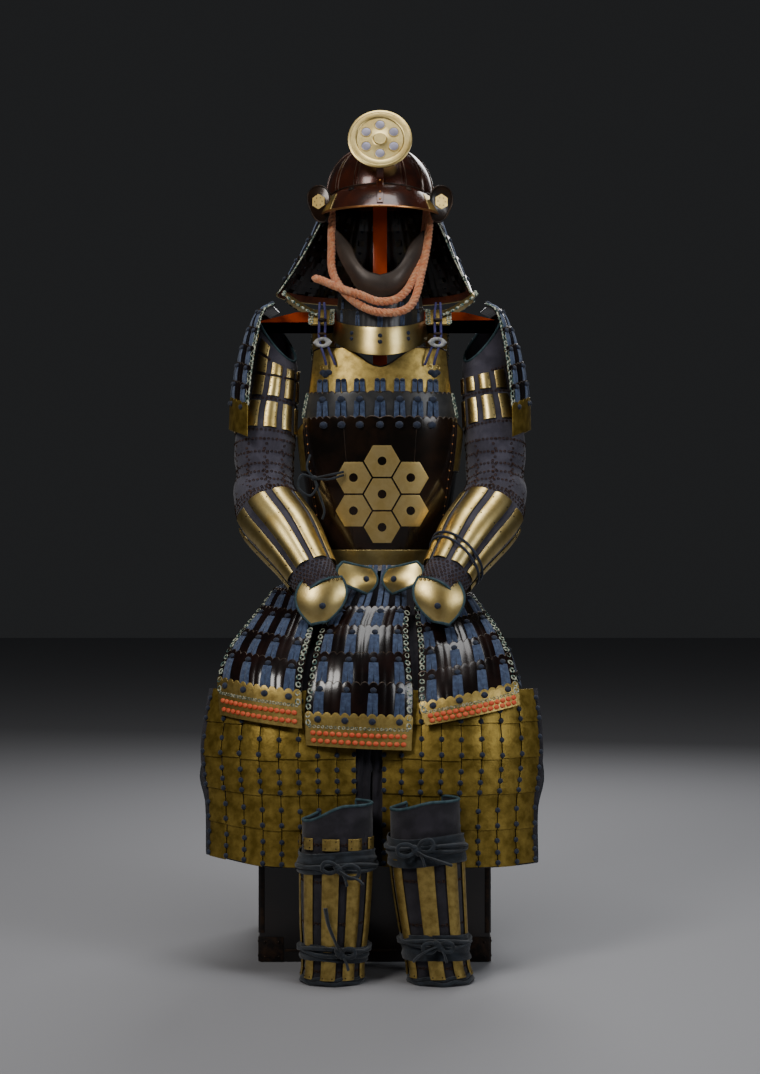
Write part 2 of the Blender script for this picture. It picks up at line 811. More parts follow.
# ---------------------------------------------------------------- materials
def material(name, color, second=None, scale=40.0, metal=0.0, rough=0.5, bump=0.0, bump_scale=200.0, weave=0.0,
             stripes=0.0, coat=0.0, contrast=(0.42, 0.62), sheen=0.0):
    name = f"{name} finish"
    found = bpy.data.materials.get(name)
    if found:
        return found
    look = bpy.data.materials.new(name)
    look.use_nodes = True
    nodes, links = look.node_tree.nodes, look.node_tree.links
    shader = nodes["Principled BSDF"]
    shader.inputs["Metallic"].default_value = metal
    shader.inputs["Coat Weight"].default_value = coat
    shader.inputs["Coat Roughness"].default_value = 0.12
    shader.inputs["Specular IOR Level"].default_value = 0.4
    shader.inputs["Sheen Weight"].default_value = sheen
    place = nodes.new("ShaderNodeTexCoord")
    noise = nodes.new("ShaderNodeTexNoise")
    noise.inputs["Scale"].default_value = scale
    noise.inputs["Detail"].default_value = 6
    noise.inputs["Roughness"].default_value = 0.6
    links.new(place.outputs["Object"], noise.inputs["Vector"])
    ramp = nodes.new("ShaderNodeValToRGB")
    ramp.color_ramp.elements[0].position, ramp.color_ramp.elements[1].position = contrast
    ramp.color_ramp.elements[0].color = (*color, 1)
    ramp.color_ramp.elements[1].color = (*(second or color), 1)
    links.new(noise.outputs["Fac"], ramp.inputs["Fac"])
    base = ramp.outputs["Color"]
    span = nodes.new("ShaderNodeMapRange")
    span.inputs["To Min"].default_value = rough * 0.8
    span.inputs["To Max"].default_value = min(1, rough * 1.25)
    links.new(noise.outputs["Fac"], span.inputs["Value"])
    links.new(span.outputs["Result"], shader.inputs["Roughness"])
    height = None
    if stripes or weave:
        wave = nodes.new("ShaderNodeTexWave")
        wave.bands_direction = "DIAGONAL" if stripes else "X"
        wave.inputs["Scale"].default_value = stripes or weave
        wave.inputs["Distortion"].default_value = 1.5 if stripes else 0.6
        wave.inputs["Detail"].default_value = 1
        links.new(place.outputs["UV" if stripes else "Object"], wave.inputs["Vector"])
        height = wave.outputs["Fac"]
    if weave:
        other = nodes.new("ShaderNodeTexWave")
        other.bands_direction = "Z"
        other.inputs["Scale"].default_value = weave
        other.inputs["Distortion"].default_value = 0.6
        links.new(place.outputs["Object"], other.inputs["Vector"])
        both = nodes.new("ShaderNodeMath")
        both.operation = "MULTIPLY"
        links.new(wave.outputs["Fac"], both.inputs[0])
        links.new(other.outputs["Fac"], both.inputs[1])
        height = both.outputs["Value"]
    if height is None and bump:
        fine = nodes.new("ShaderNodeTexNoise")
        fine.inputs["Scale"].default_value = bump_scale
        fine.inputs["Detail"].default_value = 4
        links.new(place.outputs["Object"], fine.inputs["Vector"])
        height = fine.outputs["Fac"]
    if height is not None:
        relief = nodes.new("ShaderNodeBump")
        relief.inputs["Strength"].default_value = bump or 0.3
        relief.inputs["Distance"].default_value = 0.0008
        links.new(height, relief.inputs["Height"])
        links.new(relief.outputs["Normal"], shader.inputs["Normal"])
    links.new(base, shader.inputs["Base Color"])
    return look


LOOKS = {
    "gold": dict(color=(0.82, 0.64, 0.27), second=(0.62, 0.45, 0.155), scale=26, metal=1.0, rough=0.36, bump=0.12),
    "pale_gold": dict(color=(0.78, 0.61, 0.26), second=(0.58, 0.42, 0.15), scale=22, metal=1.0, rough=0.36, bump=0.12),
    "leaf_gold": dict(color=(0.52, 0.375, 0.115), second=(0.28, 0.19, 0.05), scale=80, metal=0.85, rough=0.42, bump=0.4,
                      bump_scale=420, contrast=(0.4, 0.7)),
    "old_gold": dict(color=(0.19, 0.125, 0.018), second=(0.42, 0.29, 0.06), scale=48, metal=0.7, rough=0.42, bump=0.45,
                     bump_scale=240, contrast=(0.36, 0.7)),
    "gilding": dict(color=(0.80, 0.60, 0.25), second=(0.68, 0.48, 0.17), scale=30, metal=0.85, rough=0.38),
    "lacquer": dict(color=(0.006, 0.0034, 0.003), second=(0.015, 0.0062, 0.0048), scale=18, rough=0.2, coat=0.5),
    "worn": dict(color=(0.13, 0.10, 0.075), second=(0.05, 0.03, 0.022), scale=60, metal=0.5, rough=0.35),
    "bronze": dict(color=(0.010, 0.007, 0.005), second=(0.038, 0.018, 0.009), scale=7, metal=0.3, rough=0.2, coat=0.5),
    "grey_lacquer": dict(color=(0.045, 0.046, 0.048), second=(0.075, 0.074, 0.074), scale=30, metal=0.35, rough=0.34),
    "russet": dict(color=(0.075, 0.017, 0.007), second=(0.026, 0.009, 0.006), scale=14, metal=0.35, rough=0.25,
                   coat=0.5),
    "chin": dict(color=(0.095, 0.072, 0.058), second=(0.065, 0.05, 0.042), scale=24, metal=0.25, rough=0.42),
    "silver": dict(color=(0.36, 0.34, 0.42), second=(0.26, 0.25, 0.32), scale=40, metal=0.7, rough=0.4),
    "rim": dict(color=(0.50, 0.20, 0.075), second=(0.66, 0.34, 0.12), scale=30, metal=0.9, rough=0.3),
    "dark_iron": dict(color=(0.014, 0.011, 0.010), second=(0.05, 0.028, 0.016), scale=70, metal=0.5, rough=0.5),
    "mail": dict(color=(0.085, 0.038, 0.018), second=(0.03, 0.016, 0.010), scale=120, metal=0.6, rough=0.5),
    "blue": dict(color=(0.030, 0.050, 0.115), second=(0.075, 0.115, 0.215), scale=150, rough=0.75, stripes=14, bump=0.5,
                 sheen=0.3),
    "light_blue": dict(color=(0.055, 0.09, 0.19), second=(0.12, 0.175, 0.30), scale=150, rough=0.7, stripes=14,
                       bump=0.5, sheen=0.3),
    "violet": dict(color=(0.045, 0.04, 0.14), second=(0.08, 0.075, 0.21), scale=150, rough=0.8, bump=0.4,
                   bump_scale=600),
    "navy": dict(color=(0.012, 0.017, 0.035), second=(0.03, 0.042, 0.075), scale=160, rough=0.85, bump=0.5,
                 bump_scale=700, sheen=0.2),
    "edge_lace": dict(color=(0.60, 0.62, 0.48), second=(0.05, 0.11, 0.10), scale=230, rough=0.75, bump=0.4,
                      bump_scale=600, contrast=(0.47, 0.53)),
    "coral": dict(color=(0.78, 0.105, 0.04), second=(0.86, 0.19, 0.075), scale=120, rough=0.7, bump=0.4,
                  bump_scale=900),
    "rope": dict(color=(0.84, 0.27, 0.10), second=(0.95, 0.45, 0.22), scale=110, rough=0.85, stripes=60, bump=0.6,
                 sheen=0.4),
    "sleeve_cloth": dict(color=(0.042, 0.038, 0.058), second=(0.075, 0.07, 0.098), scale=30, rough=0.9, weave=260,
                         bump=0.5, sheen=0.3),
    "dark_cloth": dict(color=(0.014, 0.012, 0.018), second=(0.032, 0.028, 0.038), scale=34, rough=0.95, weave=260,
                       bump=0.5, sheen=0.25),
    "tie_cloth": dict(color=(0.008, 0.012, 0.018), second=(0.024, 0.033, 0.045), scale=60, rough=0.92, weave=320,
                      bump=0.5, sheen=0.3),
    "piping": dict(color=(0.03, 0.065, 0.078), second=(0.065, 0.115, 0.135), scale=90, rough=0.8, bump=0.3,
                   bump_scale=500),
    "leather": dict(color=(0.20, 0.045, 0.010), second=(0.09, 0.022, 0.008), scale=40, rough=0.6, bump=0.3,
                    bump_scale=300),
    "bone": dict(color=(0.50, 0.50, 0.48), second=(0.20, 0.21, 0.22), scale=120, rough=0.4),
    "stand_red": dict(color=(0.69, 0.085, 0.004), second=(0.58, 0.065, 0.003), scale=10, rough=0.28, coat=0.4),
    "chest_black": dict(color=(0.006, 0.004, 0.0035), second=(0.014, 0.0075, 0.005), scale=8, rough=0.3, bump=0.08,
                        bump_scale=60, coat=0.4),
}


def finished(name, bm, look, thick=0.0, bevel=0.0, instead_of=(), inward=False, sharp=40):
    """Turns a bmesh into an object of the part."""
    name = name.replace(" ", "_")
    mesh = bpy.data.meshes.new(name)
    bm.normal_update()
    bm.to_mesh(mesh)
    bm.free()
    if not mesh.polygons:
        raise RuntimeError(f"{name} came out empty")
    mesh.materials.append(material(look, **LOOKS[look]))
    mesh.polygons.foreach_set("use_smooth", [True] * len(mesh.polygons))
    if not thick:
        mesh.set_sharp_from_angle(angle=math.radians(sharp))
    obj = bpy.data.objects.new(name, mesh)
    bpy.context.scene.collection.objects.link(obj)
    if thick:
        shell = obj.modifiers.new("Thickness", "SOLIDIFY")
        shell.thickness = thick * MM
        shell.offset = -1 if inward else 1
    if bevel:
        edge = obj.modifiers.new("Edge", "BEVEL")
        edge.width = bevel * MM
        edge.segments = 1
        edge.limit_method = "ANGLE"
        edge.angle_limit = math.radians(50)
    if thick:
        shade = obj.modifiers.new("Shading", "WEIGHTED_NORMAL")
        shade.keep_sharp = True
    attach(obj, "root")
    if instead_of:
        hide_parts(*([instead_of] if isinstance(instead_of, str) else instead_of))
    return obj


def surface(name, at, us, vs, look, thick=2.0, bevel=0.4, instead_of=(), ring=False, inward=False):
    bm = new_mesh()
    lay(bm, at, us, vs, ring)
    return finished(name, bm, look, thick, bevel, instead_of, inward)


# ---------------------------------------------------------------- laced lames
def scallop(u, count, sharpness=2.4):
    """0 at the top of each scallop and 1 in the notch between two."""
    return np.abs(2 * np.mod(u * count, 1) - 1) ** sharpness


def lames(name, at, edges, look, instead_of, scallops=12, first=None, proud=3.5, lap=0.03, dip=0.012, thick=1.8,
          last=None):
    """Lames that hang one over the next, each with a scalloped upper edge that stands proud."""
    bm, worn = new_mesh(), new_mesh()
    tops = list(edges)
    if first is not None:
        tops = [first] + tops
    feet = tops[1:] + [1.0 if last is None else last]
    us = spread(scallops * 6)
    for k, (top, low) in enumerate(zip(tops, feet)):
        low = min(low + lap, 1.0) if k < len(tops) - 1 else low
        plain = first is not None and k == 0
        stand = 0 if plain else proud

        def lame(u, v, top=top, low=low, stand=stand, plain=plain):
            drop = 0 if plain else dip * scallop(u, scallops) * (1 - v) ** 3
            place = mix(top, low, v) + drop
            lift = stand * (1 - v) + 0.6 * (1 - scallop(u, scallops, 2)) + 0.15
            return at(u, place) + lift[..., None] * outward(at, u, place)

        lay(bm, lame, us, LAME_ROWS)
        if not plain:
            points = lame(us, 0 * us) + (thick * 0.7) * outward(at, us, top + 0 * us)
            tube(worn, points, 0.85, 5)
    finished(f"{name} worn edges", worn, "worn")
    finished(name, bm, look, thick, 0.35, instead_of)


def laces(name, at, edges, columns, look="blue", knot_look="navy", proud=3.5, wide=8.5, gap=1.2,
          knot=6.2, plate=1.8, foot=None, start=0.2):
    """Pairs of flat laces from a knot on each lame down behind the edge of the next, and the knots."""
    cords, knots = new_mesh(), new_mesh()
    bottoms = list(edges[1:]) + [foot if foot is not None else 1.0]
    for k, (top, low) in enumerate(zip(edges, bottoms)):
        hidden = foot is None and k == len(edges) - 1
        for column in columns:
            v = mix(top, low, start)
            lift = proud * (1 - start) + plate
            ball(knots, spot(at, column, v, lift + 1.2), knot, knot * 0.9, 3.4)
            if hidden:
                continue
            span = np.linalg.norm(np.diff(at(np.array([column, column + 0.01]), np.array([v, v])), axis=0)) * 100
            step = (wide + gap) / 2 / span
            fall = lambda t: plate + 0.7 + proud * (1 - start) * (1 - t) + 0.9 * np.sin(np.pi * t)
            for way in (-1, 1):
                braid(cords, at, column + way * step * 0.75, mix(top, low, start + 0.1), column + way * step,
                      low + 0.012, wide, 2.4, fall, 5)
    finished(f"{name} knots", knots, knot_look)
    finished(f"{name} laces", cords, look)


def edge_lacing(name, at, v0, v1, count, columns=(0.02, 0.98), lift=3.2, size=4.0):
    """The variegated braid along the side edges, ring by ring."""
    bm = new_mesh()
    for column in columns:
        for k in range(count):
            v = mix(v0, v1, (k + 0.5) / count)
            lean = Matrix.Rotation(math.radians(62 if k % 2 else 118), 4, "Z")
            hoop(bm, spot(at, column, v, lift) @ lean, size, size * 0.36, 10, 5, 1.25)
    finished(name, bm, "edge_lace")


# ---------------------------------------------------------------- stand and chest
def build_stand(settings):
    base = new_mesh()
    low, high = 640.6, 1515  # the post's two ends
    block(base, free((0, 0, low - 10.3)), 240, 170, 20, bevel=3)
    finished("stand foot", base, "stand_red", instead_of="stand_foot", sharp=30)
    post = new_mesh()
    block(post, free((0, 0, (low + high) / 2)), 28, 22, high - low, bevel=1.6)
    finished("stand post", post, "stand_red", instead_of="stand_post", sharp=30)
    bar = new_mesh()
    half, foot, top = 250, 1211, 1250

    def board(u, v):
        x = mix(-half, half, u)
        rise = (top - 21 * np.clip((np.abs(x) - 165) / 85, 0, 1) - foot) / 2
        turn = 360 * v
        return vec(x, -16 * np.clip(cos(turn) * 1.5, -1, 1), foot + rise + rise * np.clip(sin(turn) * 1.5, -1, 1))

    lay(bar, board, spread(24), spread(24), ring=True)
    for end in (0.0, 1.0):
        def face(u, v, end=end):
            return mix(vec(mix(-half, half, end), 0 * u, foot + 9), board(end + 0 * u, u), v[..., None])

        lay(bar, face, spread(24), [0, 1], ring=True)
    bmesh.ops.remove_doubles(bar, verts=bar.verts, dist=1e-6)
    bmesh.ops.recalc_face_normals(bar, faces=bar.faces)
    finished("stand bar", bar, "stand_red", instead_of="stand_shoulder_bar", sharp=35)
    crown = new_mesh()
    profile = np.array([  # radius and height above the post
        (0.01, 0.3), (50, 0.3), (52, 1.5), (58, 14), (57, 30), (48, 49), (30, 61), (18, 64), (0.01, 64)])

    def turned(u, v):
        reach, height = profile[np.rint(v * (len(profile) - 1)).astype(int)].T
        return vec(reach * sin(360 * u), BOWL["y"] - reach * cos(360 * u), high + height)

    lay(crown, turned, spread(40), spread(len(profile) - 1), ring=True)
    bmesh.ops.recalc_face_normals(crown, faces=crown.faces)
    finished("stand crown", crown, "stand_red", instead_of="stand_crown")


def build_chest(settings):
    (x0, y0, _), (x1, y1, high), lid = CHEST["low"], CHEST["high"], CHEST["lid"]
    mid = ((x0 + x1) / 2, (y0 + y1) / 2)
    wide, deep = x1 - x0, y1 - y0
    body = new_mesh()
    block(body, free((*mid, high / 2)), wide, deep, high, bevel=4)
    finished("chest body", body, "chest_black", instead_of="chest_body", sharp=30)
    cover = new_mesh()
    block(cover, free((*mid, high + lid / 2 + 0.3)), wide, deep, lid, bevel=4)
    finished("chest lid", cover, "chest_black", instead_of="chest_lid", sharp=30)
    metal, studs = new_mesh(), new_mesh()
    faces = (  # middle of each upright face, its turn about Z, and its width
        ((mid[0], y0, 0), 0, wide),
        ((x1, mid[1], 0), 90, deep),
        ((mid[0], y1, 0), 180, wide),
        ((x0, mid[1], 0), -90, deep),
    )
    for centre, turn, width in faces:
        side = free(centre, (0, 0, turn)) @ Matrix.Rotation(math.radians(90), 4, "X")

        def on(x, z, lift, side=side):
            return side @ Matrix.Translation((x * MM, z * MM, lift * MM))

        block(metal, on(0, 22, 0.6), width - 96, 5, 2, bevel=0.6)
        block(metal, on(0, high - 10, 0.6), width - 96, 5, 2, bevel=0.6)
        for way in (-1, 1):
            for z in (24, high - 26, high + lid - 14):
                x = way * (width / 2 - 24)
                tall = 26 if z > high else 46
                block(metal, on(x, z, 0.6), 44, tall, 2.4, bevel=0.8)
                for dx in (-13, 13):
                    for dz in (-0.3, 0.3):
                        stud(studs, on(x + dx, z + dz * tall, 1.8), 2.6, 1.6)
            block(metal, on(way * (width / 2 - 6), high / 2, 0.5), 8, high - 110, 1.6, bevel=0.5)
    for way, turn in ((x0, -90), (x1, 90)):
        side = free((way, mid[1], 400), (0, 0, turn)) @ Matrix.Rotation(math.radians(90), 4, "X")
        for dx in (-55, 55):
            ball(metal, side @ Matrix.Translation((dx * MM, 0, 1 * MM)), 14, 14, 3)
            hoop(metal, side @ Matrix.Translation((dx * MM, -4 * MM, 4 * MM)), 5, 1.6)
        line = [(-55, 0, 5), (-52, -30, 7), (-30, -42, 7), (30, -42, 7), (52, -30, 7), (55, 0, 5)]
        path = [np.array(side @ Vector([n * MM for n in point])) / MM - SHIFT for point in line]
        tube(metal, curve(path, 24), 3.2)
    front = free((mid[0], y0, high - 14)) @ Matrix.Rotation(math.radians(90), 4, "X")
    block(metal, front, 74, 66, 3, bevel=1)
    finished("chest fittings", metal, "dark_iron", sharp=35)
    finished("chest studs", studs, "dark_iron")


# ---------------------------------------------------------------- helmet
def build_helmet(settings):
    surface("helmet bowl plates", offset(bowl_at, 0.2), spread(84), spread(14), "russet", 2.2, 0,
            "helmet_bowl", ring=True)
    ribs, seams = new_mesh(), new_mesh()
    for k in range(BOWL["ribs"]):
        u = k / BOWL["ribs"]
        braid(ribs, bowl_at, u, 0.03, u, 0.96, 2.6, 4.0, 2.6, 14, 6)
        braid(seams, bowl_at, u + 0.007, 0.03, u + 0.007, 0.96, 1.2, 1.2, 2.7, 14, 5)
        braid(seams, bowl_at, u - 0.007, 0.03, u - 0.007, 0.96, 1.2, 1.2, 2.7, 14, 5)
    finished("helmet ribs", ribs, "russet")
    finished("helmet rib edges", seams, "worn")
    crown = new_mesh()
    top = free((0, BOWL["y"], BOWL["z"] + BOWL["high"] + 0.5))
    hoop(crown, top, 15, 2.6, 32, 8)
    hoop(crown, top @ Matrix.Translation((0, 0, 2 * MM)), 12.5, 1.4, 32, 6)
    for k in range(16):
        place = top @ Matrix.Rotation(2 * math.pi * k / 16, 4, "Z") @ Matrix.Translation((19.5 * MM, 0, -0.6 * MM))
        ball(crown, place, 2.6, 2.2, 1.6, 1)
    finished("helmet crown ring", crown, "gold")
    band = new_mesh()
    along(band, offset(bowl_at, 2.6), line_across(0.985, 72)[:-1], 2.0, 6, closed=True)
    finished("helmet base band", band, "dark_iron")
    surface("helmet brim plate", brim_at, spread(48), spread(10), "russet", 2.2, 0.5, "helmet_brim")
    rims, trim = new_mesh(), new_mesh()
    along(rims, brim_at, line_across(1, 48), 2.1, 8, lift=1.2)
    for u in (0.0, 1.0):
        along(rims, brim_at, line_down(u, 6), 1.8, 8, lift=1.2)
    finished("helmet brim rim", rims, "rim")
    along(trim, brim_at, line_across(0.04, 48), 1.5, 6, lift=2.8)
    for u in (0.27, 0.73):
        hoop(trim, spot(brim_at, u, 0.24, 3.0), 5, 1.3, 16, 6)
        stud(trim, spot(brim_at, u, 0.24, 2.4), 3.2, 2)
    finished("helmet brim trim", trim, "dark_iron")
    ends = new_mesh()
    for u0, u1 in ((0.01, 0.13), (0.87, 0.99)):
        lay(ends, window(offset(brim_at, 2.4), u0, u1, 0.3, 0.97), spread(6), spread(4))
    finished("helmet brim ends", ends, "gold", 0.8, 0.2)
    disc_place = Matrix.Translation(Vector(metres((0, DISC["y"], DISC["z"])))) @ Matrix.Rotation(
        math.radians(90 - DISC["lean"]), 4, "X")
    build_disc(disc_place)
    strip_rows = table(("v", "y", "z", "half"), (0, -121.4, 1549, 5), (0.25, -124, 1520, 6.5), (0.45, -115, 1496, 7.5),
                       (0.6, -127, 1480, 7.5), (0.8, -148, 1463, 7), (1, -168, 1441, 6))

    def strip(u, v):
        row = strip_rows(v)
        return vec(mix(-row["half"], row["half"], u), row["y"], row["z"])

    surface("helmet disc holder", strip, spread(4), spread(28), "russet", 3.2, 0.6, "helmet_disc_mount")
    rivets = new_mesh()
    for v in (0.47, 0.78, 0.93):
        stud(rivets, spot(strip, 0.5, v, 3.4), 2.4, 1.6)
    finished("helmet holder rivets", rivets, "rim")
    for way, node in ((1, "helmet_flap_left"), (-1, "helmet_flap_right")):
        build_flap(way, node)
    build_neck_guard()


def build_disc(place):
    radius = DISC["radius"]
    levels = table(("v", "r", "z"), (0, 0.02, 3.6), (1, 12, 3.6), (2, 13.5, 1.6), (3, 16, 1.0), (4, 45, 1.0),
                   (5, 47, 2.8), (6, 49, 3.2), (7, 60, 3.0), (8, radius, 2.0), (9, radius, 0), (10, 0.02, 0))

    def on(u, v):
        k = v * 10
        i = np.floor(np.minimum(k, 9.999))
        t = k - i
        a, b = levels(i), levels(i + 1)
        r, z = mix(a["r"], b["r"], t), mix(a["z"], b["z"], t)
        return vec(r * sin(360 * u), -r * cos(360 * u), z)

    bm = new_mesh()
    made = bmesh.ops.create_grid(bm, x_segments=72, y_segments=20, size=1, calc_uvs=True)["verts"]
    co = np.array([vert.co for vert in made])
    for vert, point in zip(made, on((co[:, 0] + 1) / 2, (1 - co[:, 1]) / 2) * MM):
        vert.co = place @ Vector(point)
    bmesh.ops.remove_doubles(bm, verts=bm.verts, dist=1e-5)
    bmesh.ops.recalc_face_normals(bm, faces=bm.faces)
    finished("helmet disc plate", bm, "pale_gold", instead_of="helmet_disc", sharp=35)
    windows, frames = new_mesh(), new_mesh()
    for k in range(6):
        spin = place @ Matrix.Rotation(2 * math.pi * (k + 0.5) / 6, 4, "Z") @ Matrix.Translation((31 * MM, 0, 0))
        ball(windows, spin @ Matrix.Translation((0, 0, 1.1 * MM)), 9.5, 9.5, 0.8, 3)
        hoop(frames, spin @ Matrix.Translation((0, 0, 1.4 * MM)), 10, 0.9, 24, 6)
    hoop(frames, place @ Matrix.Translation((0, 0, 3.0 * MM)), 57.5, 0.6, 64, 5)
    finished("helmet disc windows", windows, "silver")
    finished("helmet disc rings", frames, "pale_gold")


def flap_outline(count):
    w, h = FLAP["wide"] / 2, FLAP["high"] / 2
    curves = (
        ((-w * 0.35, -h), (w * 0.3, -h * 1.02), (w * 0.55, -h * 0.5), (w * 0.8, -h * 0.1)),
        ((w * 0.8, -h * 0.1), (w * 1.2, h * 0.5), (w * 0.8, h), (w * 0.1, h)),
        ((w * 0.1, h), (-w * 0.7, h), (-w, h * 0.6), (-w, 0)),
        ((-w, 0), (-w, -h * 0.5), (-w * 0.8, -h), (-w * 0.35, -h)),
    )
    points = []
    for a, b, c, d in (np.array(one) for one in curves):
        for t in np.linspace(0, 1, count, endpoint=False):
            points.append((1 - t) ** 3 * a + 3 * (1 - t) ** 2 * t * b + 3 * (1 - t) * t * t * c + t**3 * d)
    return np.array(points)


def build_flap(way, node):
    """way is 1 for the flap on the left of the picture and -1 for the one on the right."""
    outline = flap_outline(12)
    ring = np.concatenate([outline, outline[:1]])
    angle = -FLAP["turn"] * way

    def place(points):
        px, pz = points[..., 0] * -way, points[..., 1]
        bow = 2.5 + 5 * (1 - (np.hypot(px, pz) / 36) ** 2)
        return vec(-FLAP["x"] * way + px * cos(angle) + bow * sin(angle),
                   FLAP["y"] + px * sin(angle) - bow * cos(angle), FLAP["z"] + pz)

    def on(u, v):
        k = np.rint(u * (len(ring) - 1)).astype(int)
        return place(ring[k] * v[..., None])

    bm = new_mesh()
    lay(bm, on, spread(len(ring) - 1), [0.001, 0.4, 0.8, 0.94, 1], ring=True)
    bmesh.ops.remove_doubles(bm, verts=bm.verts, dist=1e-4)
    bmesh.ops.recalc_face_normals(bm, faces=bm.faces)
    if sum(face.normal.y * face.calc_area() for face in bm.faces) > 0:
        bmesh.ops.reverse_faces(bm, faces=bm.faces)
    finished(f"{node} plate", bm, "bronze", 2.2, 0.4, node, inward=True)
    border = new_mesh()
    tube(border, place(ring), 1.7, 7, caps=False)
    finished(f"{node} border", border, "dark_iron")
    badge, dots = new_mesh(), new_mesh()
    centre = place(np.array([-2.0, 4.0]))
    spin = free(centre + np.array([0, -1.2, 0]), (90, 0, 0)) @ Matrix.Rotation(math.radians(angle), 4, "Y")
    bmesh.ops.create_cone(badge, cap_ends=True, segments=6, radius1=15 * MM, radius2=15 * MM, depth=2.2 * MM,
                          matrix=spin)
    for k in range(6):
        step = Matrix.Rotation(math.pi * k / 3, 4, "Z") @ Matrix.Translation((8 * MM, 0, 1.2 * MM))
        stud(dots, spin @ step, 1.2, 0.6)
    finished(f"{node} badge", badge, "gilding", sharp=30)
    finished(f"{node} badge dots", dots, "dark_iron")


def build_neck_guard():
    edges = (0.2, 0.4, 0.6, 0.8)
    lames("neck guard lames", neck_at, edges, "lacquer", "neck_guard", scallops=26, first=0.0, dip=0.02)
    columns = tuple(spread(12, 0.035, 0.965))
    laces("neck guard", neck_at, edges, columns, "light_blue", "navy", wide=7, knot=5.4)
    inner = new_mesh()
    inside = offset(neck_at, -1.0)
    for edge in edges + (0.97,):
        for u in columns:
            lay(inner, window(inside, u - 0.011, u + 0.011, edge - 0.08, edge - 0.03), [0, 1], [0, 1])
    finished("neck guard inner lacing", inner, "grey_lacquer", 1.2, 0.3, inward=True)
    surface("neck guard lower lining", window(offset(neck_at, -1.6), 0.0, 1.0, 0.92, 0.995), spread(60), spread(3),
            "leather", 1.0, 0, inward=True)
    edge_lacing("neck guard edge lacing", neck_at, 0.1, 1.0, 26, columns=(0.004, 0.996), lift=1.2, size=4.4)
    rim = new_mesh()
    along(rim, neck_at, line_across(1.0, 80), 2.0, 6, lift=1.4)
    finished("neck guard lower rim", rim, "gold")


# ---------------------------------------------------------------- face, throat and cords
def build_face(settings):
    surface("chin guard plate", chin_at, spread(60), spread(8), "chin", 2.4, 0.5, "chin_guard")
    rims, ties = new_mesh(), new_mesh()
    for v in (0.0, 1.0):
        along(rims, chin_at, line_across(v, 60), 1.6, 7, lift=1.2)
    finished("chin guard rims", rims, "dark_iron")
    for way in (-1, 1):
        place = free((way * 95, -50, 1414))
        ball(ties, place, 5, 5, 5)
        tube(ties, curve([(way * 94, -52, 1416), (way * 99, -54, 1428), (way * 93, -50, 1440)], 10), 1.8)
        tube(ties, curve([(way * 96, -52, 1412), (way * 102, -56, 1420), (way * 107, -50, 1431)], 10), 1.6)
    finished("chin guard ties", ties, "navy")

    collar = window(throat_at, 0, 1, 0, 0.62)
    lames("throat lames", collar, (0.45,), "grey_lacquer", "throat_lames", scallops=16, first=0.0, proud=3.0, dip=0.03)
    spots = (0.13, 0.31, 0.5, 0.69, 0.87)
    laces("throat", collar, (0.12, 0.45), spots, "blue", "navy", proud=2.0, wide=5.2, knot=4.4, foot=0.86)
    plate = offset(window(throat_at, 0, 1, 0.55, 1), 3.9)
    surface("throat plate gilt", plate, spread(48), spread(6), "pale_gold", 2.2, 0.6, "throat_plate")
    knots = new_mesh()
    for u in (0.27, 0.5, 0.73):
        for v in (0.3, 0.52):
            ball(knots, spot(plate, u, v, 2.8), 4.4, 4.2, 2.4)
    finished("throat plate knots", knots, "navy")

    outer = [(-97, -30, 1480), (-95, -52, 1424), (-95, -80, 1374), (-91, -106, 1314), (-56, -140, 1262),
             (-2, -156, 1234), (58, -143, 1247), (82, -108, 1322), (96, -68, 1404), (97, -30, 1480)]
    inner = [(96, -16, 1478), (88, -58, 1402), (72, -105, 1322), (42, -140, 1268), (0, -152, 1255), (-38, -153, 1268),
             (-76, -140, 1282), (-112, -116, 1300), (-128, -104, 1306)]
    for name, line, end, node in (("rope outer", outer, "object", "helmet_cord_outer"),
                                  ("rope inner", inner, "bare", "helmet_cord_inner")):
        bm = new_mesh()
        path, length = rope(bm, line, ROPE)
        obj = finished(name, bm, "rope", instead_of=node)
        where = metres(path)
        list(where[0])
        [list(point) for point in where]


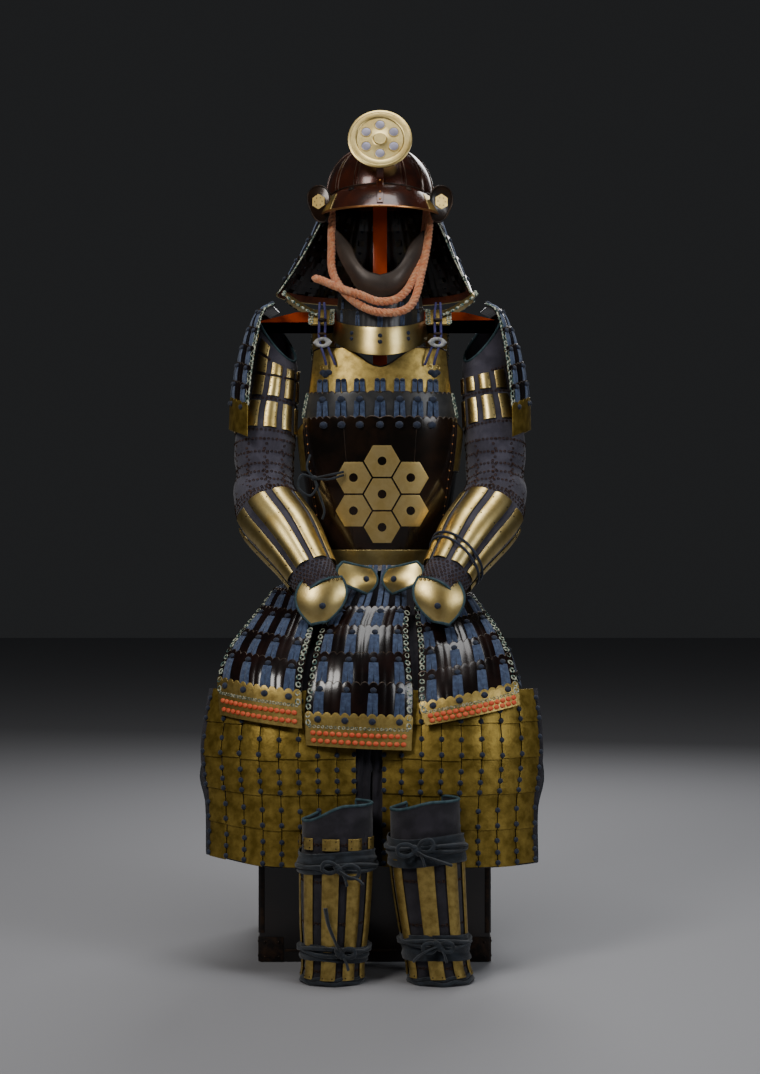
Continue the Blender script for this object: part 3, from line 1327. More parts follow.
# ---------------------------------------------------------------- cuirass
def build_cuirass(settings):
    surface("cuirass top plate gilt", top_plate_at, spread(64), spread(12), "leaf_gold", 2.2, 0.6, "cuirass_top_plate")
    trim = new_mesh()
    along(trim, top_plate_at, line_across(0.0, 60), 1.9, 7, lift=1.3)
    for u in (0.0, 1.0):
        along(trim, top_plate_at, line_down(u, 10), 1.7, 7, lift=1.3)
    finished("cuirass top rim", trim, "dark_iron")
    columns = (0.115, 0.245, 0.373, 0.5, 0.627, 0.755, 0.885)
    lame = lambda u, v: trunk_at(mix(-64, 64, u), mix(1085, 1026, v), mix(4, 3.0, v))
    front = lambda u, v: trunk_at(mix(-60, 60, u), mix(BODY["top"] - 10, BODY["foot"], v), mix(*BODY["out"], v))
    for name, at, count, look, node, dip, vs in (
            ("cuirass lame plate", lame, 22, "grey_lacquer", "cuirass_lame", 0.08, [0, 0.1, 0.25, 0.6, 1]),
            ("cuirass body plate", front, 20, "bronze", "cuirass_body", 0.016, [0, 0.02, 0.05, *spread(12, 0.1, 1)])):
        def plate(u, v, at=at, count=count, dip=dip):
            return at(u, v + dip * scallop(u, count) * np.clip(1 - v * 4, 0, 1) ** 2)

        surface(name, plate, spread(count * 6), vs, look, 2.2, 0.4, node)
        edge = new_mesh()
        us = spread(count * 6)
        along(edge, at, [(u, dip * scallop(u, count)) for u in us], 0.9, 5, lift=2.0)
        finished(f"{name} edge", edge, "worn")
    knots, cords = new_mesh(), new_mesh()
    for x in (-112, -76, -40, 0, 38, 73, 103):
        for way in (-1, 1):
            strip = lambda u, v, x=x, way=way: front_at(x + way * mix(5.4, 6.2, v) + (u - 0.5) * 9.5,
                                                         mix(1107, 1084, v), mix(3.6, 6.2, v))
            lay(cords, strip, spread(4), spread(4))
            strip = lambda u, v, x=x, way=way: front_at(x + way * mix(5.0, 7.0, v) + (u - 0.5) * 9.5,
                                                         mix(1066, 1026, v), mix(8.2, 7.6, v))
            lay(cords, strip, spread(4), spread(4))
        for across in (-5.4, 5.4):
            ball(knots, free(front_at(x + across, 1107, 5.2)), 5, 3.6, 3.4)
        ball(knots, free(front_at(x, 1069, 9.5)), 7.6, 5, 6.8)
        ball(knots, free(front_at(x * 0.98, 1019, 12)), 8.2, 5.4, 7.2)
    finished("cuirass laces", cords, "blue", 1.4, 0.3)
    finished("cuirass knots", knots, "navy")
    edge_lacing("cuirass edge lacing", lame_at, 0.15, 1.0, 6, lift=3.4)
    # eyelets and the two large knots of the top plate
    eyes, big = new_mesh(), new_mesh()
    for u, v in ((0.13, 0.42), (0.2, 0.4), (0.8, 0.4), (0.87, 0.42)):
        hoop(eyes, spot(top_plate_at, u, v, 2.4), 4.0, 1.3, 18, 6)
    for u in (0.175, 0.825):
        for way in (-1, 0, 1):
            ball(big, spot(top_plate_at, u + way * 0.024, 0.56 - 0.03 * abs(way), 3.4), 8.5, 7.6 - 1.8 * abs(way), 5.0)
    finished("cuirass eyelets", eyes, "gold")
    finished("cuirass top knots", big, "navy")
    # seams, rivets and gilding of the body
    seams, rivets = new_mesh(), new_mesh()
    for u0, u1 in ((0.335, 0.36), (0.665, 0.65)):
        braid(seams, body_at, u0, 0.03, u1, 0.995, 1.6, 1.0, 2.4, 20, 6)
    for u in (0.045, 0.955):
        for k in range(15):
            stud(rivets, spot(body_at, u, mix(0.1, 0.97, k / 14), 2.3), 2.0, 1.3)
    for way in (-1, 1):
        for u in (0.035, 0.965):
            along(seams, body_at, line_down(u + way * 0.012, 16, 0.08, 0.99), 0.7, 5, lift=2.4)
    finished("cuirass seams", seams, "dark_iron")
    finished("cuirass rivets", rivets, "rim")
    build_honeycomb()
    waist = lambda u, v: trunk_at(360 * u, mix(777, 738, v), mix(7, 4, v))
    surface("waist band gilt", waist, spread(96), spread(3), "gold", 2.2, 0.5, "waist_band", ring=True)
    for side, word in SIDES:
        surface(f"cuirass side {word}", side_at(side), spread(12), spread(8), "bronze", 2.2, 0.4,
                f"cuirass_side_{word}")
        surface(f"armpit plate {word}", armpit_at(side), spread(20), spread(6), "leaf_gold", 2.2, 0.5,
                f"armpit_plate_{word}")
        edge = new_mesh()
        along(edge, armpit_at(side), line_round(16, 5), 1.5, 6, lift=1.3, closed=True)
        finished(f"armpit rim {word}", edge, "dark_iron")
    # back plate
    back_lames = (0.24, 0.37)
    lames("cuirass back plates", back_at, back_lames, "bronze", "cuirass_back", scallops=20, first=0.0, proud=3,
          dip=0.016)
    laces("cuirass back", back_at, back_lames, columns, "blue", "navy", proud=3, wide=8, foot=0.37)
    build_side_tie()
    build_straps()


def build_honeycomb():
    """Seven gilt hexagons in a honeycomb, each with a small dark hole, laid flat on the front plate."""
    gilt = new_mesh()
    size, hole, pitch, centre_x, centre_z = 35.0, 8.5, 1.83 * 35.0, 4.0, 885.0
    turns = np.array([60 * k + 30 for k in range(6)])
    for x, z0 in ((0.0, 0.0), *zip(pitch * cos(turns), pitch * sin(turns))):
        def ring(u, v, x=x, z0=z0):
            angle = 360 * u + 30
            reach = size * cos(30) / cos(np.mod(angle - 30, 60) - 30)
            r = mix(hole, reach, v)
            z = centre_z + z0 + r * cos(angle)
            out = mix(*BODY["out"], (BODY["top"] - z) / (BODY["top"] - BODY["foot"])) + 2.5
            return front_at(centre_x + x + r * sin(angle), z, out)

        lay(gilt, ring, spread(48), spread(4), ring=True)
    bmesh.ops.recalc_face_normals(gilt, faces=gilt.faces)
    if sum(face.normal.y for face in gilt.faces) > 0:
        bmesh.ops.reverse_faces(gilt, faces=gilt.faces)
    finished("cuirass gilt honeycomb", gilt, "gilding", 0.5, 0)


def build_side_tie():
    """The cord that ties the cuirass on the left of the picture, the toggle and the knob."""
    bm = new_mesh()
    start = np.array([-70, -134, 925])
    knot = np.array([-128, -112, 916])
    for way in (-1, 1):
        tube(bm, curve([start + (0, 2, way * 3), (start + knot) / 2 + (0, -12, way * 4 - 3), knot], 16), 2.4)
    ball(bm, free(knot), 7, 6, 6)
    loop = [knot, knot + (-24, -12, 6), knot + (-30, -14, -18), knot + (-8, -14, -34), knot + (6, -8, -16), knot]
    tube(bm, curve(loop, 36), 2.4)
    tube(bm, curve([knot, knot + (10, -8, -30), knot + (20, -10, -62), knot + (16, -10, -80)], 18), 2.3)
    tube(bm, curve([knot, knot + (-14, -4, 20), knot + (-8, 4, 46)], 12), 2.3)
    finished("side tie cord", bm, "tie_cloth")
    toggle = new_mesh()
    ball(toggle, free((-133, -80, 982), (0, 30, 0)), 4, 4, 13)
    finished("side toggle", toggle, "bone")
    knob = new_mesh()
    ball(knob, free((130, -82, 996)), 4, 4, 9)
    stud(knob, free((128, -86, 996), (90, 0, 0)), 6, 4)
    finished("side knob", knob, "gold")
    bits = new_mesh()
    for x in (-124, 124):
        ball(bits, free((x, -88, 990)), 6, 5, 6)
        ball(bits, free((x * 0.97, -92, 984)), 4, 4, 5)
    finished("side knots", bits, "navy")


def build_straps():
    for side, word in SIDES:
        at = strap_at(side)
        surface(f"shoulder strap {word} plate", at, spread(8), spread(32), "leaf_gold", 4.5, 0.8,
                f"shoulder_strap_{word}")
        edge_lacing(f"shoulder strap {word} edge", at, 0.1, 1.0, 24, columns=(0.03, 0.97), lift=4.2)
        cords, toggle, hooks = new_mesh(), new_mesh(), new_mesh()
        for across in (-6, 6):
            line = [(side * x + across * part, y, z) for x, part, y, z in (
                (114, 0.7, -70, 1262), (113, 1, -84, 1240), (113, 1, -90, 1216), (112, 1, -100, 1186),
                (100, 1.3, -107, 1150), (96, 1.5, -104, 1137))]
            tube(cords, curve(line, 28), 2.6)
        for z in (1226, 1198):
            ball(hooks, free((side * 112.5, -97 + (z - 1198) * 0.2, z)), 9, 4, 4)
        finished(f"strap tie {word} cords", cords, "violet", instead_of=f"strap_tie_{word}")
        finished(f"strap tie {word} slides", hooks, "dark_iron")
        centre = free((side * 112, -104, 1181), (90, side * 20, 0))
        hoop(toggle, centre, 7.0, 3.4, 28, 10, stretch=1.75)
        for end in (-1, 1):
            ball(toggle, centre @ Matrix.Translation((end * 15 * MM, 0, 0)), 5, 3.2, 3)
        finished(f"strap toggle {word}", toggle, "bone")
        crest = wing_at(side)
        surface(f"shoulder wing {word} plate", crest, spread(16), spread(10), "gold", 2.4, 0.5,
                f"shoulder_wing_{word}")
        edging = new_mesh()
        for u in spread(17):
            ball(edging, spot(crest, u, 1.0, 1.4), 4.6, 3.6, 3.0)
        for v in spread(7):
            for u in (0.0, 1.0):
                ball(edging, spot(crest, u, v, 1.4), 3.2, 5, 3)
        finished(f"shoulder wing {word} edge", edging, "edge_lace")


# ---------------------------------------------------------------- shoulder guards
def build_shoulders(settings):
    edges = (0.13, 0.3, 0.47, 0.64, 0.81)
    for side, word in SIDES:
        plates = window(shoulder_at(side), 0, 1, 0, 0.79)
        lames(f"shoulder guard {word} lames", plates, edges, "lacquer", f"shoulder_guard_{word}", scallops=14,
              first=0.0, proud=3, dip=0.016)
        columns = (0.09, 0.3, 0.5, 0.7, 0.91)
        laces(f"shoulder guard {word}", plates, (0.0,) + edges, columns, "light_blue", "navy", proud=3, wide=9.5,
              foot=0.98)
        hem = offset(window(shoulder_at(side), 0, 1, 0.765, 1), 3.6)
        dip = lambda u, v, hem=hem: hem(u, v + 0.07 * scallop(u, 12) * (1 - v) ** 3)
        surface(f"shoulder guard {word} hem", dip, spread(72), LAME_ROWS, "old_gold", 2.2, 0.5, f"shoulder_hem_{word}")
        knots = new_mesh()
        for column in columns:
            ball(knots, spot(hem, column, 0.18, 3), 6, 5.4, 3.4)
        finished(f"shoulder guard {word} hem knots", knots, "navy")
        edge_lacing(f"shoulder guard {word} edge lacing", plates, 0.02, 1.0, 22, lift=3.4, size=4.6)


# ---------------------------------------------------------------- sleeves
SLEEVE_FOLDS = (
    (-0.25, 0.44, 0.1, 0.50, 0.035, 3.2), (0.2, 0.46, 0.42, 0.52, 0.03, 3.6), (0.5, 0.48, 0.8, 0.45, 0.035, 3.0),
    (0.3, 0.55, 0.55, 0.60, 0.03, 4.0), (0.15, 0.58, 0.35, 0.66, 0.028, 2.6), (0.6, 0.55, 0.9, 0.58, 0.032, 3.2),
    (0.05, 0.42, 0.3, 0.40, 0.022, 2.0), (0.4, 0.66, 0.5, 0.80, 0.03, 2.4), (0.62, 0.3, 0.7, 0.42, 0.03, 2.4),
    (0.3, 0.2, 0.33, 0.38, 0.03, 2.2), (0.52, 0.86, 0.62, 0.96, 0.03, 2.0), (-0.06, 0.53, 0.14, 0.56, 0.022, 2.0),
)


def build_sleeves(settings):
    folds = creased(*SLEEVE_FOLDS)
    for side, word in SIDES:
        skin = sleeve_at(side)
        turn = (lambda u: u) if side < 0 else (lambda u: 1 - u)
        cloth = offset(skin, lambda u, v, turn=turn: 0.2 + folds(turn(u), v) + folds(turn(u) - 1, v))
        sleeve = surface(f"sleeve {word} cloth", cloth, spread(96), spread(150), "sleeve_cloth", 2.0, 0,
                         f"sleeve_{word}", ring=True)
        piping = new_mesh()
        along(piping, skin, line_across(0.0, 64)[:-1], 2.8, 7, lift=1.2, closed=True)
        along(piping, skin, line_across(1.0, 48)[:-1], 2.4, 7, lift=1.2, closed=True)
        piped = finished(f"sleeve {word} piping", piping, "piping")
        sheet_area(cloth)
        plates, chain, rivets = new_mesh(), new_mesh(), new_mesh()
        # small plates in rows down the upper arm
        rows = ((0.03, 0.085), (0.1, 0.175), (0.193, 0.27), (0.29, 0.37)) if side < 0 else \
            ((0.07, 0.145), (0.165, 0.245), (0.267, 0.345))
        for k, (v0, v1) in enumerate(rows):
            for centre in (-0.26, -0.16, -0.06, 0.04, 0.14, 0.24):
                if k == 0 and centre > (-0.05 if side < 0 else -0.1):
                    continue
                u0, u1 = sorted((turn(centre - 0.033), turn(centre + 0.033)))
                curl = offset(skin, lambda u, v, c=turn(centre): 3.0 + 2.4 * np.maximum(0, 1 - ((u - c) / 0.033) ** 2))
                lay(plates, window(curl, u0, u1, v0, v1), spread(6), spread(3))
                for du in (0.15, 0.85):
                    for dv in (0.12, 0.42, 0.58, 0.88):
                        stud(rivets, spot(curl, mix(u0, u1, du), mix(v0, v1, dv), 1.5), 1.1, 0.8)
            mail(chain, skin, turn(-0.3), turn(0.3 if k else 0.0), v1 + 0.002, v1 + 0.017, RING, 3.0)
        # mail grid over the elbow
        for v in (0.40, 0.44, 0.485, 0.53, 0.575, 0.62):
            mail(chain, cloth, turn(-0.34), turn(0.24), v, v + 0.014, RING, 2.8)
        for centre in (-0.3, -0.2, -0.1, 0.0, 0.1, 0.2):
            mail(chain, cloth, turn(centre), turn(centre + 0.026), 0.40, 0.655, RING, 2.8)
        mail(chain, cloth, turn(-0.34), turn(0.24), 0.632, 0.66, RING, 2.8)
        # long splints of the forearm
        for centre in (-0.33, -0.2, -0.07, 0.06, 0.19):
            u0, u1 = sorted((turn(centre - 0.047), turn(centre + 0.047)))
            bar = offset(skin, barrel(turn(centre), 0.049, 2.6, 4.8, 0.02))
            lay(plates, window(bar, u0, u1, 0.665 + 0.03 * abs(centre), 0.928), spread(8), spread(16))
            for k in range(4):
                for du in (0.1, 0.9):
                    stud(rivets, spot(bar, mix(u0, u1, du), mix(0.70, 0.905, k / 3), 1.5), 1.5, 1.1)
        mail(chain, skin, turn(-0.36), turn(0.27), 0.93, 0.992, RING, 3.0)
        mail(chain, hand_at(side), 0.02, 0.98, -0.06, 0.1, RING, 4.2)
        finished(f"sleeve {word} plates", plates, "gold", 1.6, 0.4)
        finished(f"sleeve {word} mail", chain, "mail")
        finished(f"sleeve {word} rivets", rivets, "dark_iron")
        for name, at, (across, down) in (("hand", hand_at(side), (0.55, 0.62)), ("thumb", thumb_at(side), (0.72, 0.5))):
            surface(f"{name} guard {word} plate", at, spread(20), spread(14), "pale_gold", 2.2, 0.5,
                    f"{name}_guard_{word}")
            edge = new_mesh()
            along(edge, at, line_round(14, 12), 3.0, 7, lift=1.0, closed=True)
            finished(f"{name} guard {word} piping", edge, "piping")
            knot = new_mesh()
            ball(knot, spot(at, turn(across), down, 3.2), 6.4, 6.0, 3.6)
            finished(f"{name} guard {word} knot", knot, "navy")
    bm = new_mesh()
    skin = sleeve_at(1)
    for shift in (0, 0.016):
        ring = [(u, 0.87 + shift + 0.02 * math.sin(2 * math.pi * u)) for u in spread(48)[:-1]]
        along(bm, skin, ring, 2.6, 7, lift=9.5, closed=True)
    finished("wrist cord", bm, "navy")


def sheet_area(at, count=60):
    """Area of a surface in square metres."""
    u, v = np.meshgrid(spread(count), spread(count))
    p = at(u, v) * MM
    a, b = p[1:, :-1] - p[:-1, :-1], p[:-1, 1:] - p[:-1, :-1]
    c, d = p[1:, :-1] - p[1:, 1:], p[:-1, 1:] - p[1:, 1:]
    return float(np.linalg.norm(np.cross(a, b), axis=-1).sum() / 2 + np.linalg.norm(np.cross(c, d), axis=-1).sum() / 2)


# ---------------------------------------------------------------- tassets
def build_tassets(settings):
    columns = (0.125, 0.375, 0.625, 0.875)
    for name in TASSETS:
        word = name.replace("_", " ")
        at = tasset_at(name)
        lames(f"tasset {word} lames", at, TASSET_EDGES[:-1], "lacquer", f"tasset_{name}", scallops=12, dip=0.014,
              last=TASSET_EDGES[-1] + 0.03)
        laces(f"tasset {word}", at, TASSET_EDGES[:-1], columns, "blue", "navy", foot=TASSET_EDGES[-1], wide=9.5,
              start=0.26)
        edge_lacing(f"tasset {word} edge lacing", at, TASSET_EDGES[0] + 0.02, 0.92, 17, columns=(0.035, 0.965),
                    lift=4.6, size=3.9)
        hem = window(at, 0, 1, TASSET_EDGES[-1], 1)
        notched = lambda u, v, at=at: at(u, mix(TASSET_EDGES[-1], 1, v) + 0.014 * scallop(u, 12) * (1 - v) ** 3)
        surface(f"tasset {word} hem", offset(notched, lambda u, v: 3.6 * (1 - v) + 0.2), spread(72), LAME_ROWS,
                "leaf_gold", 2.2, 0.5)
        corals, knots, waves = new_mesh(), new_mesh(), new_mesh()
        for v, count in ((0.62, 15), (0.84, 14)):
            for k in range(count):
                ball(corals, spot(hem, mix(0.045, 0.955, (k + 0.5) / count), v, 3.6 * (1 - v) + 3.2), 5.3, 4.6, 2.8)
        for u in columns:
            ball(knots, spot(hem, u, 0.22, 5.8), 6.8, 6.2, 3.6)
        for u in spread(23, 0.05, 0.95):
            hoop(waves, spot(hem, u, 0.43, 4.4), 2.4, 0.8, 8, 4)
        finished(f"tasset {word} coral knots", corals, "coral")
        finished(f"tasset {word} hem knots", knots, "navy")
        finished(f"tasset {word} wave row", waves, "edge_lace")
        hang = new_mesh()
        for u in columns:
            for way in (-1, 1):
                step = way * 0.05
                braid(hang, at, u + step, 0.0, u + step * 0.9, 0.36, 9.5, 2.4, lambda t: 1.6 + 2.6 * t, 14)
        finished(f"tasset {word} hanging laces", hang, "blue")
        surface(f"tasset {word} top strip", window(offset(at, 0.3), 0, 1, 0, 0.045), spread(24), spread(2), "bronze",
                1.8)


# ---------------------------------------------------------------- thigh guard
APRON_FOLDS = (
    (0.40, 0.3, 0.43, 0.95, 0.012, 5.0), (0.455, 0.25, 0.462, 1.0, 0.008, 7.0), (0.488, 0.3, 0.485, 1.0, 0.008, 8.0),
    (0.516, 0.28, 0.512, 1.0, 0.007, 7.0), (0.56, 0.3, 0.55, 0.9, 0.014, 4.5), (0.2, 0.2, 0.28, 0.5, 0.02, 4.0),
    (0.8, 0.2, 0.72, 0.5, 0.02, 4.0), (0.62, 0.15, 0.66, 0.4, 0.014, 3.5), (0.34, 0.12, 0.31, 0.42, 0.014, 3.0),
    (0.02, 0.5, 0.03, 0.9, 0.01, 3.0), (0.97, 0.5, 0.98, 0.85, 0.012, 3.0),
)


def build_thighs(settings):
    folds = creased(*APRON_FOLDS)
    cloth = offset(apron_at, lambda u, v: 0.2 + folds(u, v))
    apron = surface("thigh guard cloth", cloth, spread(220), spread(80), "dark_cloth", 2.2, 0, "thigh_apron")
    hem = new_mesh()
    along(hem, apron_at, line_across(1.0, 80), 2.4, 6, lift=1.2)
    for u in (0.0, 1.0):
        along(hem, apron_at, line_down(u, 30, 0.3), 2.2, 6, lift=1.2)
    bound = finished("thigh guard binding", hem, "tie_cloth")
    sheet_area(cloth)
    rows = (0.0, 0.2, 0.395, 0.59, 0.79, 1.0)
    for side, word in SIDES:
        at = panel_at(side)
        count = 8
        surface(f"thigh panel {word} backing", at, spread(40), spread(24), "dark_cloth", 0.8, 0, f"thigh_panel_{word}")
        plates, knots = new_mesh(), new_mesh()
        jog = (0.0, 0.006, -0.005, 0.004, 0.008, -0.006, 0.003, -0.004, 0.0)
        rim = (0.03, 0.0) if side < 0 else (0.0, 0.03)
        cuts = spread(count, rim[0], 1 - rim[1])
        for k, (v0, v1) in enumerate(zip(rows, rows[1:])):
            for i, (u0, u1) in enumerate(zip(cuts, cuts[1:])):
                lean = 1.2 if side < 0 else -1.2

                def plate(u, v, u0=u0, u1=u1, v0=v0, v1=v1, k=k, i=i, lean=lean):
                    uu = mix(u0 + 0.0022, u1 - 0.0022, u)
                    vv = mix(v0 - (0.02 if k else 0.0), v1 - 0.002 + jog[(i + k) % 9] * 0.8, v)
                    rise = 3.6 * v + lean * (u - 0.5) + 0.8 * np.sin(np.pi * u) + 1.1
                    return at(uu, vv) + rise[..., None] * outward(at, uu, vv)

                lay(plates, plate, spread(6), spread(5))
            for i, u in enumerate(cuts):
                u = min(max(u, 0.014), 0.986)
                for share in ((0.3, 0.62, 0.9) if k % 2 == 0 else (0.42, 0.86)):
                    v = mix(v0, v1, share + jog[(i * 2 + k) % 9] * 3)
                    ball(knots, spot(at, u, v, 3.6 * share + 3.4), 4.9 + 30 * jog[(i + k) % 9], 5.0, 3.4)
        finished(f"thigh panel {word} plates", plates, "old_gold", 1.3, 0.35)
        finished(f"thigh panel {word} knots", knots, "navy")


# ---------------------------------------------------------------- shin guards
SHIN_FOLDS = {
    "left": (
        (0.3, 0.03, 0.5, 0.09, 0.03, 2.0), (0.5, 0.12, 0.72, 0.05, 0.03, 2.2),
        (0.2, 0.2, 0.26, 0.8, 0.02, 2.2), (0.34, 0.975, 0.6, 0.985, 0.02, 2.4),
        (0.36, 0.14, 0.6, 0.15, 0.014, 1.6), (0.82, 0.1, 0.86, 0.7, 0.02, 2.4),
    ),
    "right": (
        (0.32, 0.08, 0.5, 0.04, 0.03, 2.0), (0.52, 0.06, 0.7, 0.13, 0.03, 2.4),
        (0.8, 0.2, 0.78, 0.8, 0.02, 2.2), (0.3, 0.98, 0.62, 0.975, 0.02, 2.4),
        (0.42, 0.15, 0.66, 0.16, 0.014, 1.6), (0.14, 0.1, 0.1, 0.7, 0.02, 2.4),
    ),
}


def build_shins(settings):
    for side in ("left", "right"):
        shin = SHINS[side]
        skin = shin_at(side)
        folds = creased(*SHIN_FOLDS[side])
        cloth = offset(skin, lambda u, v, folds=folds: 0.3 + folds(u, v))
        legging = surface(f"shin guard {side} cloth", cloth, spread(110), spread(90), "dark_cloth", 2.4, 0,
                          f"shin_guard_{side}")
        trim, hem = new_mesh(), new_mesh()
        along(trim, skin, line_across(0.0, 60), 2.8, 7, lift=1.6)
        for u in (0.0, 1.0):
            along(trim, skin, line_down(u, 20), 2.4, 7, lift=1.6)
        for shift, radius in ((0.985, 4.2), (0.962, 3.4)):
            along(hem, skin, [(u, shift + 0.006 * math.sin(40 * u)) for u in spread(60)], radius, 7, lift=3.6)
        edge = finished(f"shin guard {side} piping", trim, "piping")
        roll = finished(f"shin guard {side} foot roll", hem, "tie_cloth")
        sheet_area(cloth)
        plates, chain, rivets = new_mesh(), new_mesh(), new_mesh()
        level = level_at(side)
        segments = ((264, 243), (212, 62), (50, 10)) if side == "left" else ((226, 80), (54, 12))
        for k, turn in enumerate(shin["bars"]):
            c, half = shin_share(turn), (0.036, 0.038, 0.046, 0.040, 0.036)[k]
            for z0, z1 in segments:
                v0, v1 = 1 - z0 / LEVEL, 1 - z1 / LEVEL
                bar = offset(level, barrel(c, half * 1.06, 3.2, 4.2, 0.03))
                lay(plates, window(bar, c - half, c + half, v0, v1), spread(8), spread(12))
                for v in (v0 + 0.014, v1 - 0.014):
                    for du in (-0.6, 0.6):
                        stud(rivets, spot(bar, c + du * half, v, 1.5), 1.3, 1.0)
        heights = (253, 186, 112, 26) if side == "left" else (188, 110, 32)
        for a, b in zip(shin["bars"], shin["bars"][1:]):
            for z in heights:
                mail(chain, level, shin_share(a) + 0.036, shin_share(b) - 0.036, 1 - (z + 5) / LEVEL,
                     1 - (z - 5) / LEVEL, 4.6, 4.4)
        finished(f"shin guard {side} splints", plates, "leaf_gold", 1.6, 0.4)
        finished(f"shin guard {side} mail", chain, "mail")
        finished(f"shin guard {side} rivets", rivets, "dark_iron")
        for which in (0, 1):
            build_tie(side, which)


TIES = {  # the band's top and bottom, where its knot sits, the loops' reach, and the tail's path from the knot
    ("left", 0): (240, 204, (4, 212), ((-26, 7), (32, -4)),
                 ((0, -6, 0), (16, -11, -10), (34, -12, -16), (42, -10, -24))),
    ("left", 1): (72, 44, (10, 62), ((24, 3),),
                 ((0, -6, 0), (-8, -11, 22), (-20, -11, 52), (-26, -9, 82))),
    ("right", 0): (266, 216, (-14, 246), ((-30, 2), (26, 13)),
                 ((0, -6, 0), (14, -11, -8), (36, -11, -16), (62, -5, -26))),
    ("right", 1): (92, 46, (4, 76), ((-24, -4), (24, -2)),
                 ((0, -6, 0), (-18, -11, -6), (-34, -10, -16), (-44, -8, -26))),
}


def build_tie(side, which):
    shin = SHINS[side]
    top, low, (turn, height), loops, tail = TIES[side, which]
    name = f"shin tie {side} {'upper' if which == 0 else 'lower'}"
    phase = 90 * which + (40 if side == "left" else 0)

    def round_at(turn, height, out):
        row = shin["rows"](1 - np.asarray(height, float) / shin["high"])
        return vec(row["x"] + (row["wide"] + out) * sin(turn), SHIN_Y - (row["deep"] + out) * cos(turn), height)

    def band(u, v):
        swing = 3 * sin(720 * u + phase) + 2 * sin(360 * u - phase)
        folds = sin(360 * (2.1 * v + 0.3 * sin(360 * u + phase)) + 200 * u) * 2.2 + 1.2 * sin(360 * (4.3 * v - 3 * u))
        out = 8.5 + folds * np.sin(np.pi * np.clip(v, 0.1, 0.9)) + 3 * (v - 0.5)
        return round_at(360 * u, mix(top, low, v) + swing, out)

    surface(name, band, spread(96), spread(12), "tie_cloth", 2.0, 0,
            name.replace(" ", "_"), ring=True)
    cords = new_mesh()
    turns = np.linspace(0, 360, 73)
    for k, (rise, out, radius) in enumerate(((4, 12, 4.4), (-4, 12.5, 4.0))):
        swing = rise * cos(turns) + 3.4 * sin(turns * 2 + 130 * k + phase)
        tube(cords, round_at(turns, height + swing, out), radius, 8, flat=0.8, caps=False)
    centre = round_at(turn, height, 16)
    for dx, dz, size in ((0, 0, 9), (-4, 5, 6.5), (5, -5, 7)):
        ball(cords, free(centre + np.array([dx, -3, dz])), size, 7, size * 0.85)
    for dx, dz in loops:
        across, up = np.array([dx, 0, dz]), np.array([-dz, 0, dx]) * 0.34
        loop = [centre + np.array(step) for step in (
            np.zeros(3), across * 0.5 + up + (0, -8, 0), across + up * 0.8 + (0, -9, 0), across * 1.12 + (0, -8, 0),
            across - up * 0.8 + (0, -9, 0), across * 0.5 - up + (0, -8, 0), np.zeros(3))]
        tube(cords, curve(loop, 36), 3.6, 8)
    for steps, start, end in ((tail, 3.4, 6.4), (((0, 0, 0), (10, -9, -12), (15, -9, -28)), 3.2, 5.0)):
        line = curve([centre + np.array(step) for step in steps], 18)
        tube(cords, line, np.linspace(start, end, 18), 8, flat=0.45)
    finished(f"{name} bow", cords, "tie_cloth")


# ---------------------------------------------------------------- stage
def build_stage(settings):
    bm = bmesh.new()
    bmesh.ops.create_grid(bm, x_segments=1, y_segments=1, size=settings.floor_size)
    mesh = bpy.data.meshes.new("floor")
    bm.to_mesh(mesh)
    bm.free()
    floor = bpy.data.objects.new("floor", mesh)
    bpy.context.scene.collection.objects.link(floor)
    look = bpy.data.materials.new("floor")
    look.use_nodes = True
    look.node_tree.nodes["Principled BSDF"].inputs["Base Color"].default_value = (0.36, 0.36, 0.38, 1)
    look.node_tree.nodes["Principled BSDF"].inputs["Roughness"].default_value = 0.7
    mesh.materials.append(look)
    lamps = (  # place in metres, size, power and tint
        ("key", (-1.7, -2.6, 2.9), 1.1, 50, (1.0, 0.97, 0.93)),
        ("fill", (2.4, -2.2, 1.9), 1.2, 26, (0.93, 0.96, 1.0)),
        ("top", (0.2, -0.4, 3.4), 1.4, 34, (1.0, 1.0, 1.0)),
        ("back", (0.6, 2.6, 2.4), 1.6, 40, (1.0, 1.0, 1.0)),
    )
    for name, where, size, power, tint in lamps:
        data = bpy.data.lights.new(name, "AREA")
        data.shape = "SQUARE"
        data.size, data.energy, data.color = size, power, tint
        lamp = bpy.data.objects.new(name, data)
        lamp.location = where
        lamp.rotation_euler = (Vector((0, 0, 0.85)) - Vector(where)).to_track_quat("-Z", "Y").to_euler()
        bpy.context.scene.collection.objects.link(lamp)
    world = bpy.data.worlds.new("studio")
    world.use_nodes = True
    world.node_tree.nodes["Background"].inputs["Color"].default_value = (0.55, 0.57, 0.6, 1)
    world.node_tree.nodes["Background"].inputs["Strength"].default_value = 0.03
    bpy.context.scene.world = world
    data = bpy.data.cameras.new("camera")
    data.lens = settings.lens
    data.sensor_width = 36
    camera = bpy.data.objects.new("camera", data)
    camera.location = metres((0, -settings.distance / MM, EYE_HEIGHT))
    camera.rotation_euler = (math.pi / 2, 0, 0)
    bpy.context.scene.collection.objects.link(camera)
    bpy.context.scene.camera = camera


# ---------------------------------------------------------------- add-on
class ArmourSettings(bpy.types.PropertyGroup):
    distance: FloatProperty(name="Camera distance", description="From the camera to the axis of the trunk", default=4.0,
                            unit="LENGTH")
    lens: FloatProperty(name="Lens", description="Focal length of the camera, in millimetres", default=67.04,
                        unit="CAMERA")
    floor_size: FloatProperty(name="Floor", description="Half the side of the floor", default=12.0, unit="LENGTH")


class Piece:
    """What the operators share: each runs one builder."""

    bl_options = {"REGISTER", "UNDO"}

    def execute(self, context):
        type(self).build(context.scene.armour)
        return {"FINISHED"}


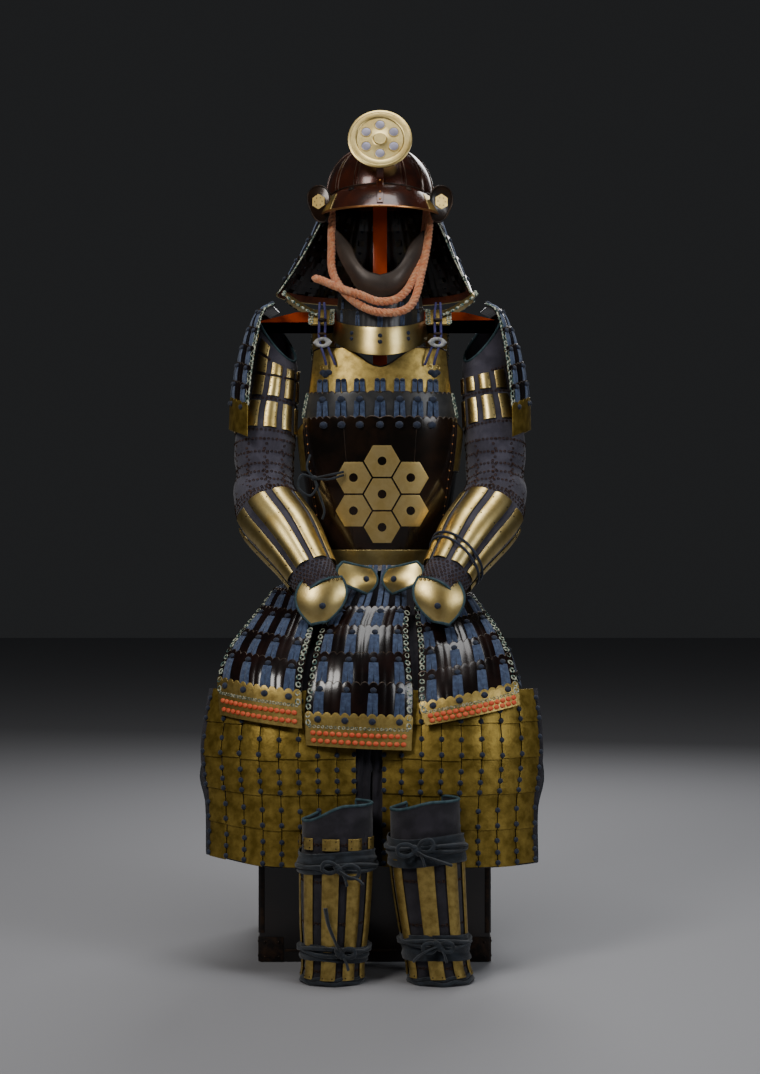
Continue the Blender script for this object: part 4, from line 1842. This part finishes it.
class ARMOUR_OT_stage(Piece, bpy.types.Operator):
    """Add the floor, the light and the camera"""

    bl_idname, bl_label, build = "armour.stage", "Stage", staticmethod(build_stage)


class ARMOUR_OT_chest(Piece, bpy.types.Operator):
    """Add the lacquered armour chest"""

    bl_idname, bl_label, build = "armour.chest", "Chest", staticmethod(build_chest)


class ARMOUR_OT_stand(Piece, bpy.types.Operator):
    """Add the wooden stand"""

    bl_idname, bl_label, build = "armour.stand", "Stand", staticmethod(build_stand)


class ARMOUR_OT_helmet(Piece, bpy.types.Operator):
    """Add the helmet with its neck guard and disc"""

    bl_idname, bl_label, build = "armour.helmet", "Helmet", staticmethod(build_helmet)


class ARMOUR_OT_face(Piece, bpy.types.Operator):
    """Add the chin guard, the throat pieces and the rope"""

    bl_idname, bl_label, build = "armour.face", "Face and throat", staticmethod(build_face)


class ARMOUR_OT_cuirass(Piece, bpy.types.Operator):
    """Add the cuirass with its straps"""

    bl_idname, bl_label, build = "armour.cuirass", "Cuirass", staticmethod(build_cuirass)


class ARMOUR_OT_shoulders(Piece, bpy.types.Operator):
    """Add the shoulder guards"""

    bl_idname, bl_label, build = "armour.shoulders", "Shoulder guards", staticmethod(build_shoulders)


class ARMOUR_OT_sleeves(Piece, bpy.types.Operator):
    """Add the sleeves and hand guards"""

    bl_idname, bl_label, build = "armour.sleeves", "Sleeves", staticmethod(build_sleeves)


class ARMOUR_OT_tassets(Piece, bpy.types.Operator):
    """Add the tassets"""

    bl_idname, bl_label, build = "armour.tassets", "Tassets", staticmethod(build_tassets)


class ARMOUR_OT_thighs(Piece, bpy.types.Operator):
    """Add the thigh guard"""

    bl_idname, bl_label, build = "armour.thighs", "Thigh guard", staticmethod(build_thighs)


class ARMOUR_OT_shins(Piece, bpy.types.Operator):
    """Add the shin guards and their ties"""

    bl_idname, bl_label, build = "armour.shins", "Shin guards", staticmethod(build_shins)


OPERATORS = (ARMOUR_OT_stage, ARMOUR_OT_chest, ARMOUR_OT_stand, ARMOUR_OT_helmet, ARMOUR_OT_face, ARMOUR_OT_cuirass,
             ARMOUR_OT_shoulders, ARMOUR_OT_sleeves, ARMOUR_OT_tassets, ARMOUR_OT_thighs, ARMOUR_OT_shins)


class ARMOUR_PT_panel(bpy.types.Panel):
    """The pieces of the armour, in the order in which they are built"""

    bl_label = "Armour"
    bl_idname = "ARMOUR_PT_panel"
    bl_space_type = "VIEW_3D"
    bl_region_type = "UI"
    bl_category = "Armour"

    def draw(self, context):
        for name in ("distance", "lens", "floor_size"):
            self.layout.prop(context.scene.armour, name)
        for operator in OPERATORS:
            self.layout.operator(operator.bl_idname)


def register():
    for one in (ArmourSettings, *OPERATORS, ARMOUR_PT_panel):
        bpy.utils.register_class(one)
    bpy.types.Scene.armour = PointerProperty(type=ArmourSettings)


def unregister():
    del bpy.types.Scene.armour
    for one in (ARMOUR_PT_panel, *reversed(OPERATORS), ArmourSettings):
        bpy.utils.unregister_class(one)


def main():
    register()
    for operator in OPERATORS:
        group, name = operator.bl_idname.split(".")
        getattr(getattr(bpy.ops, group), name)()
    for mesh, *_ in (*GRIDS.values(), *STAMPS.values()):
        bpy.data.meshes.remove(mesh)


if __name__ == "__main__":
    main()
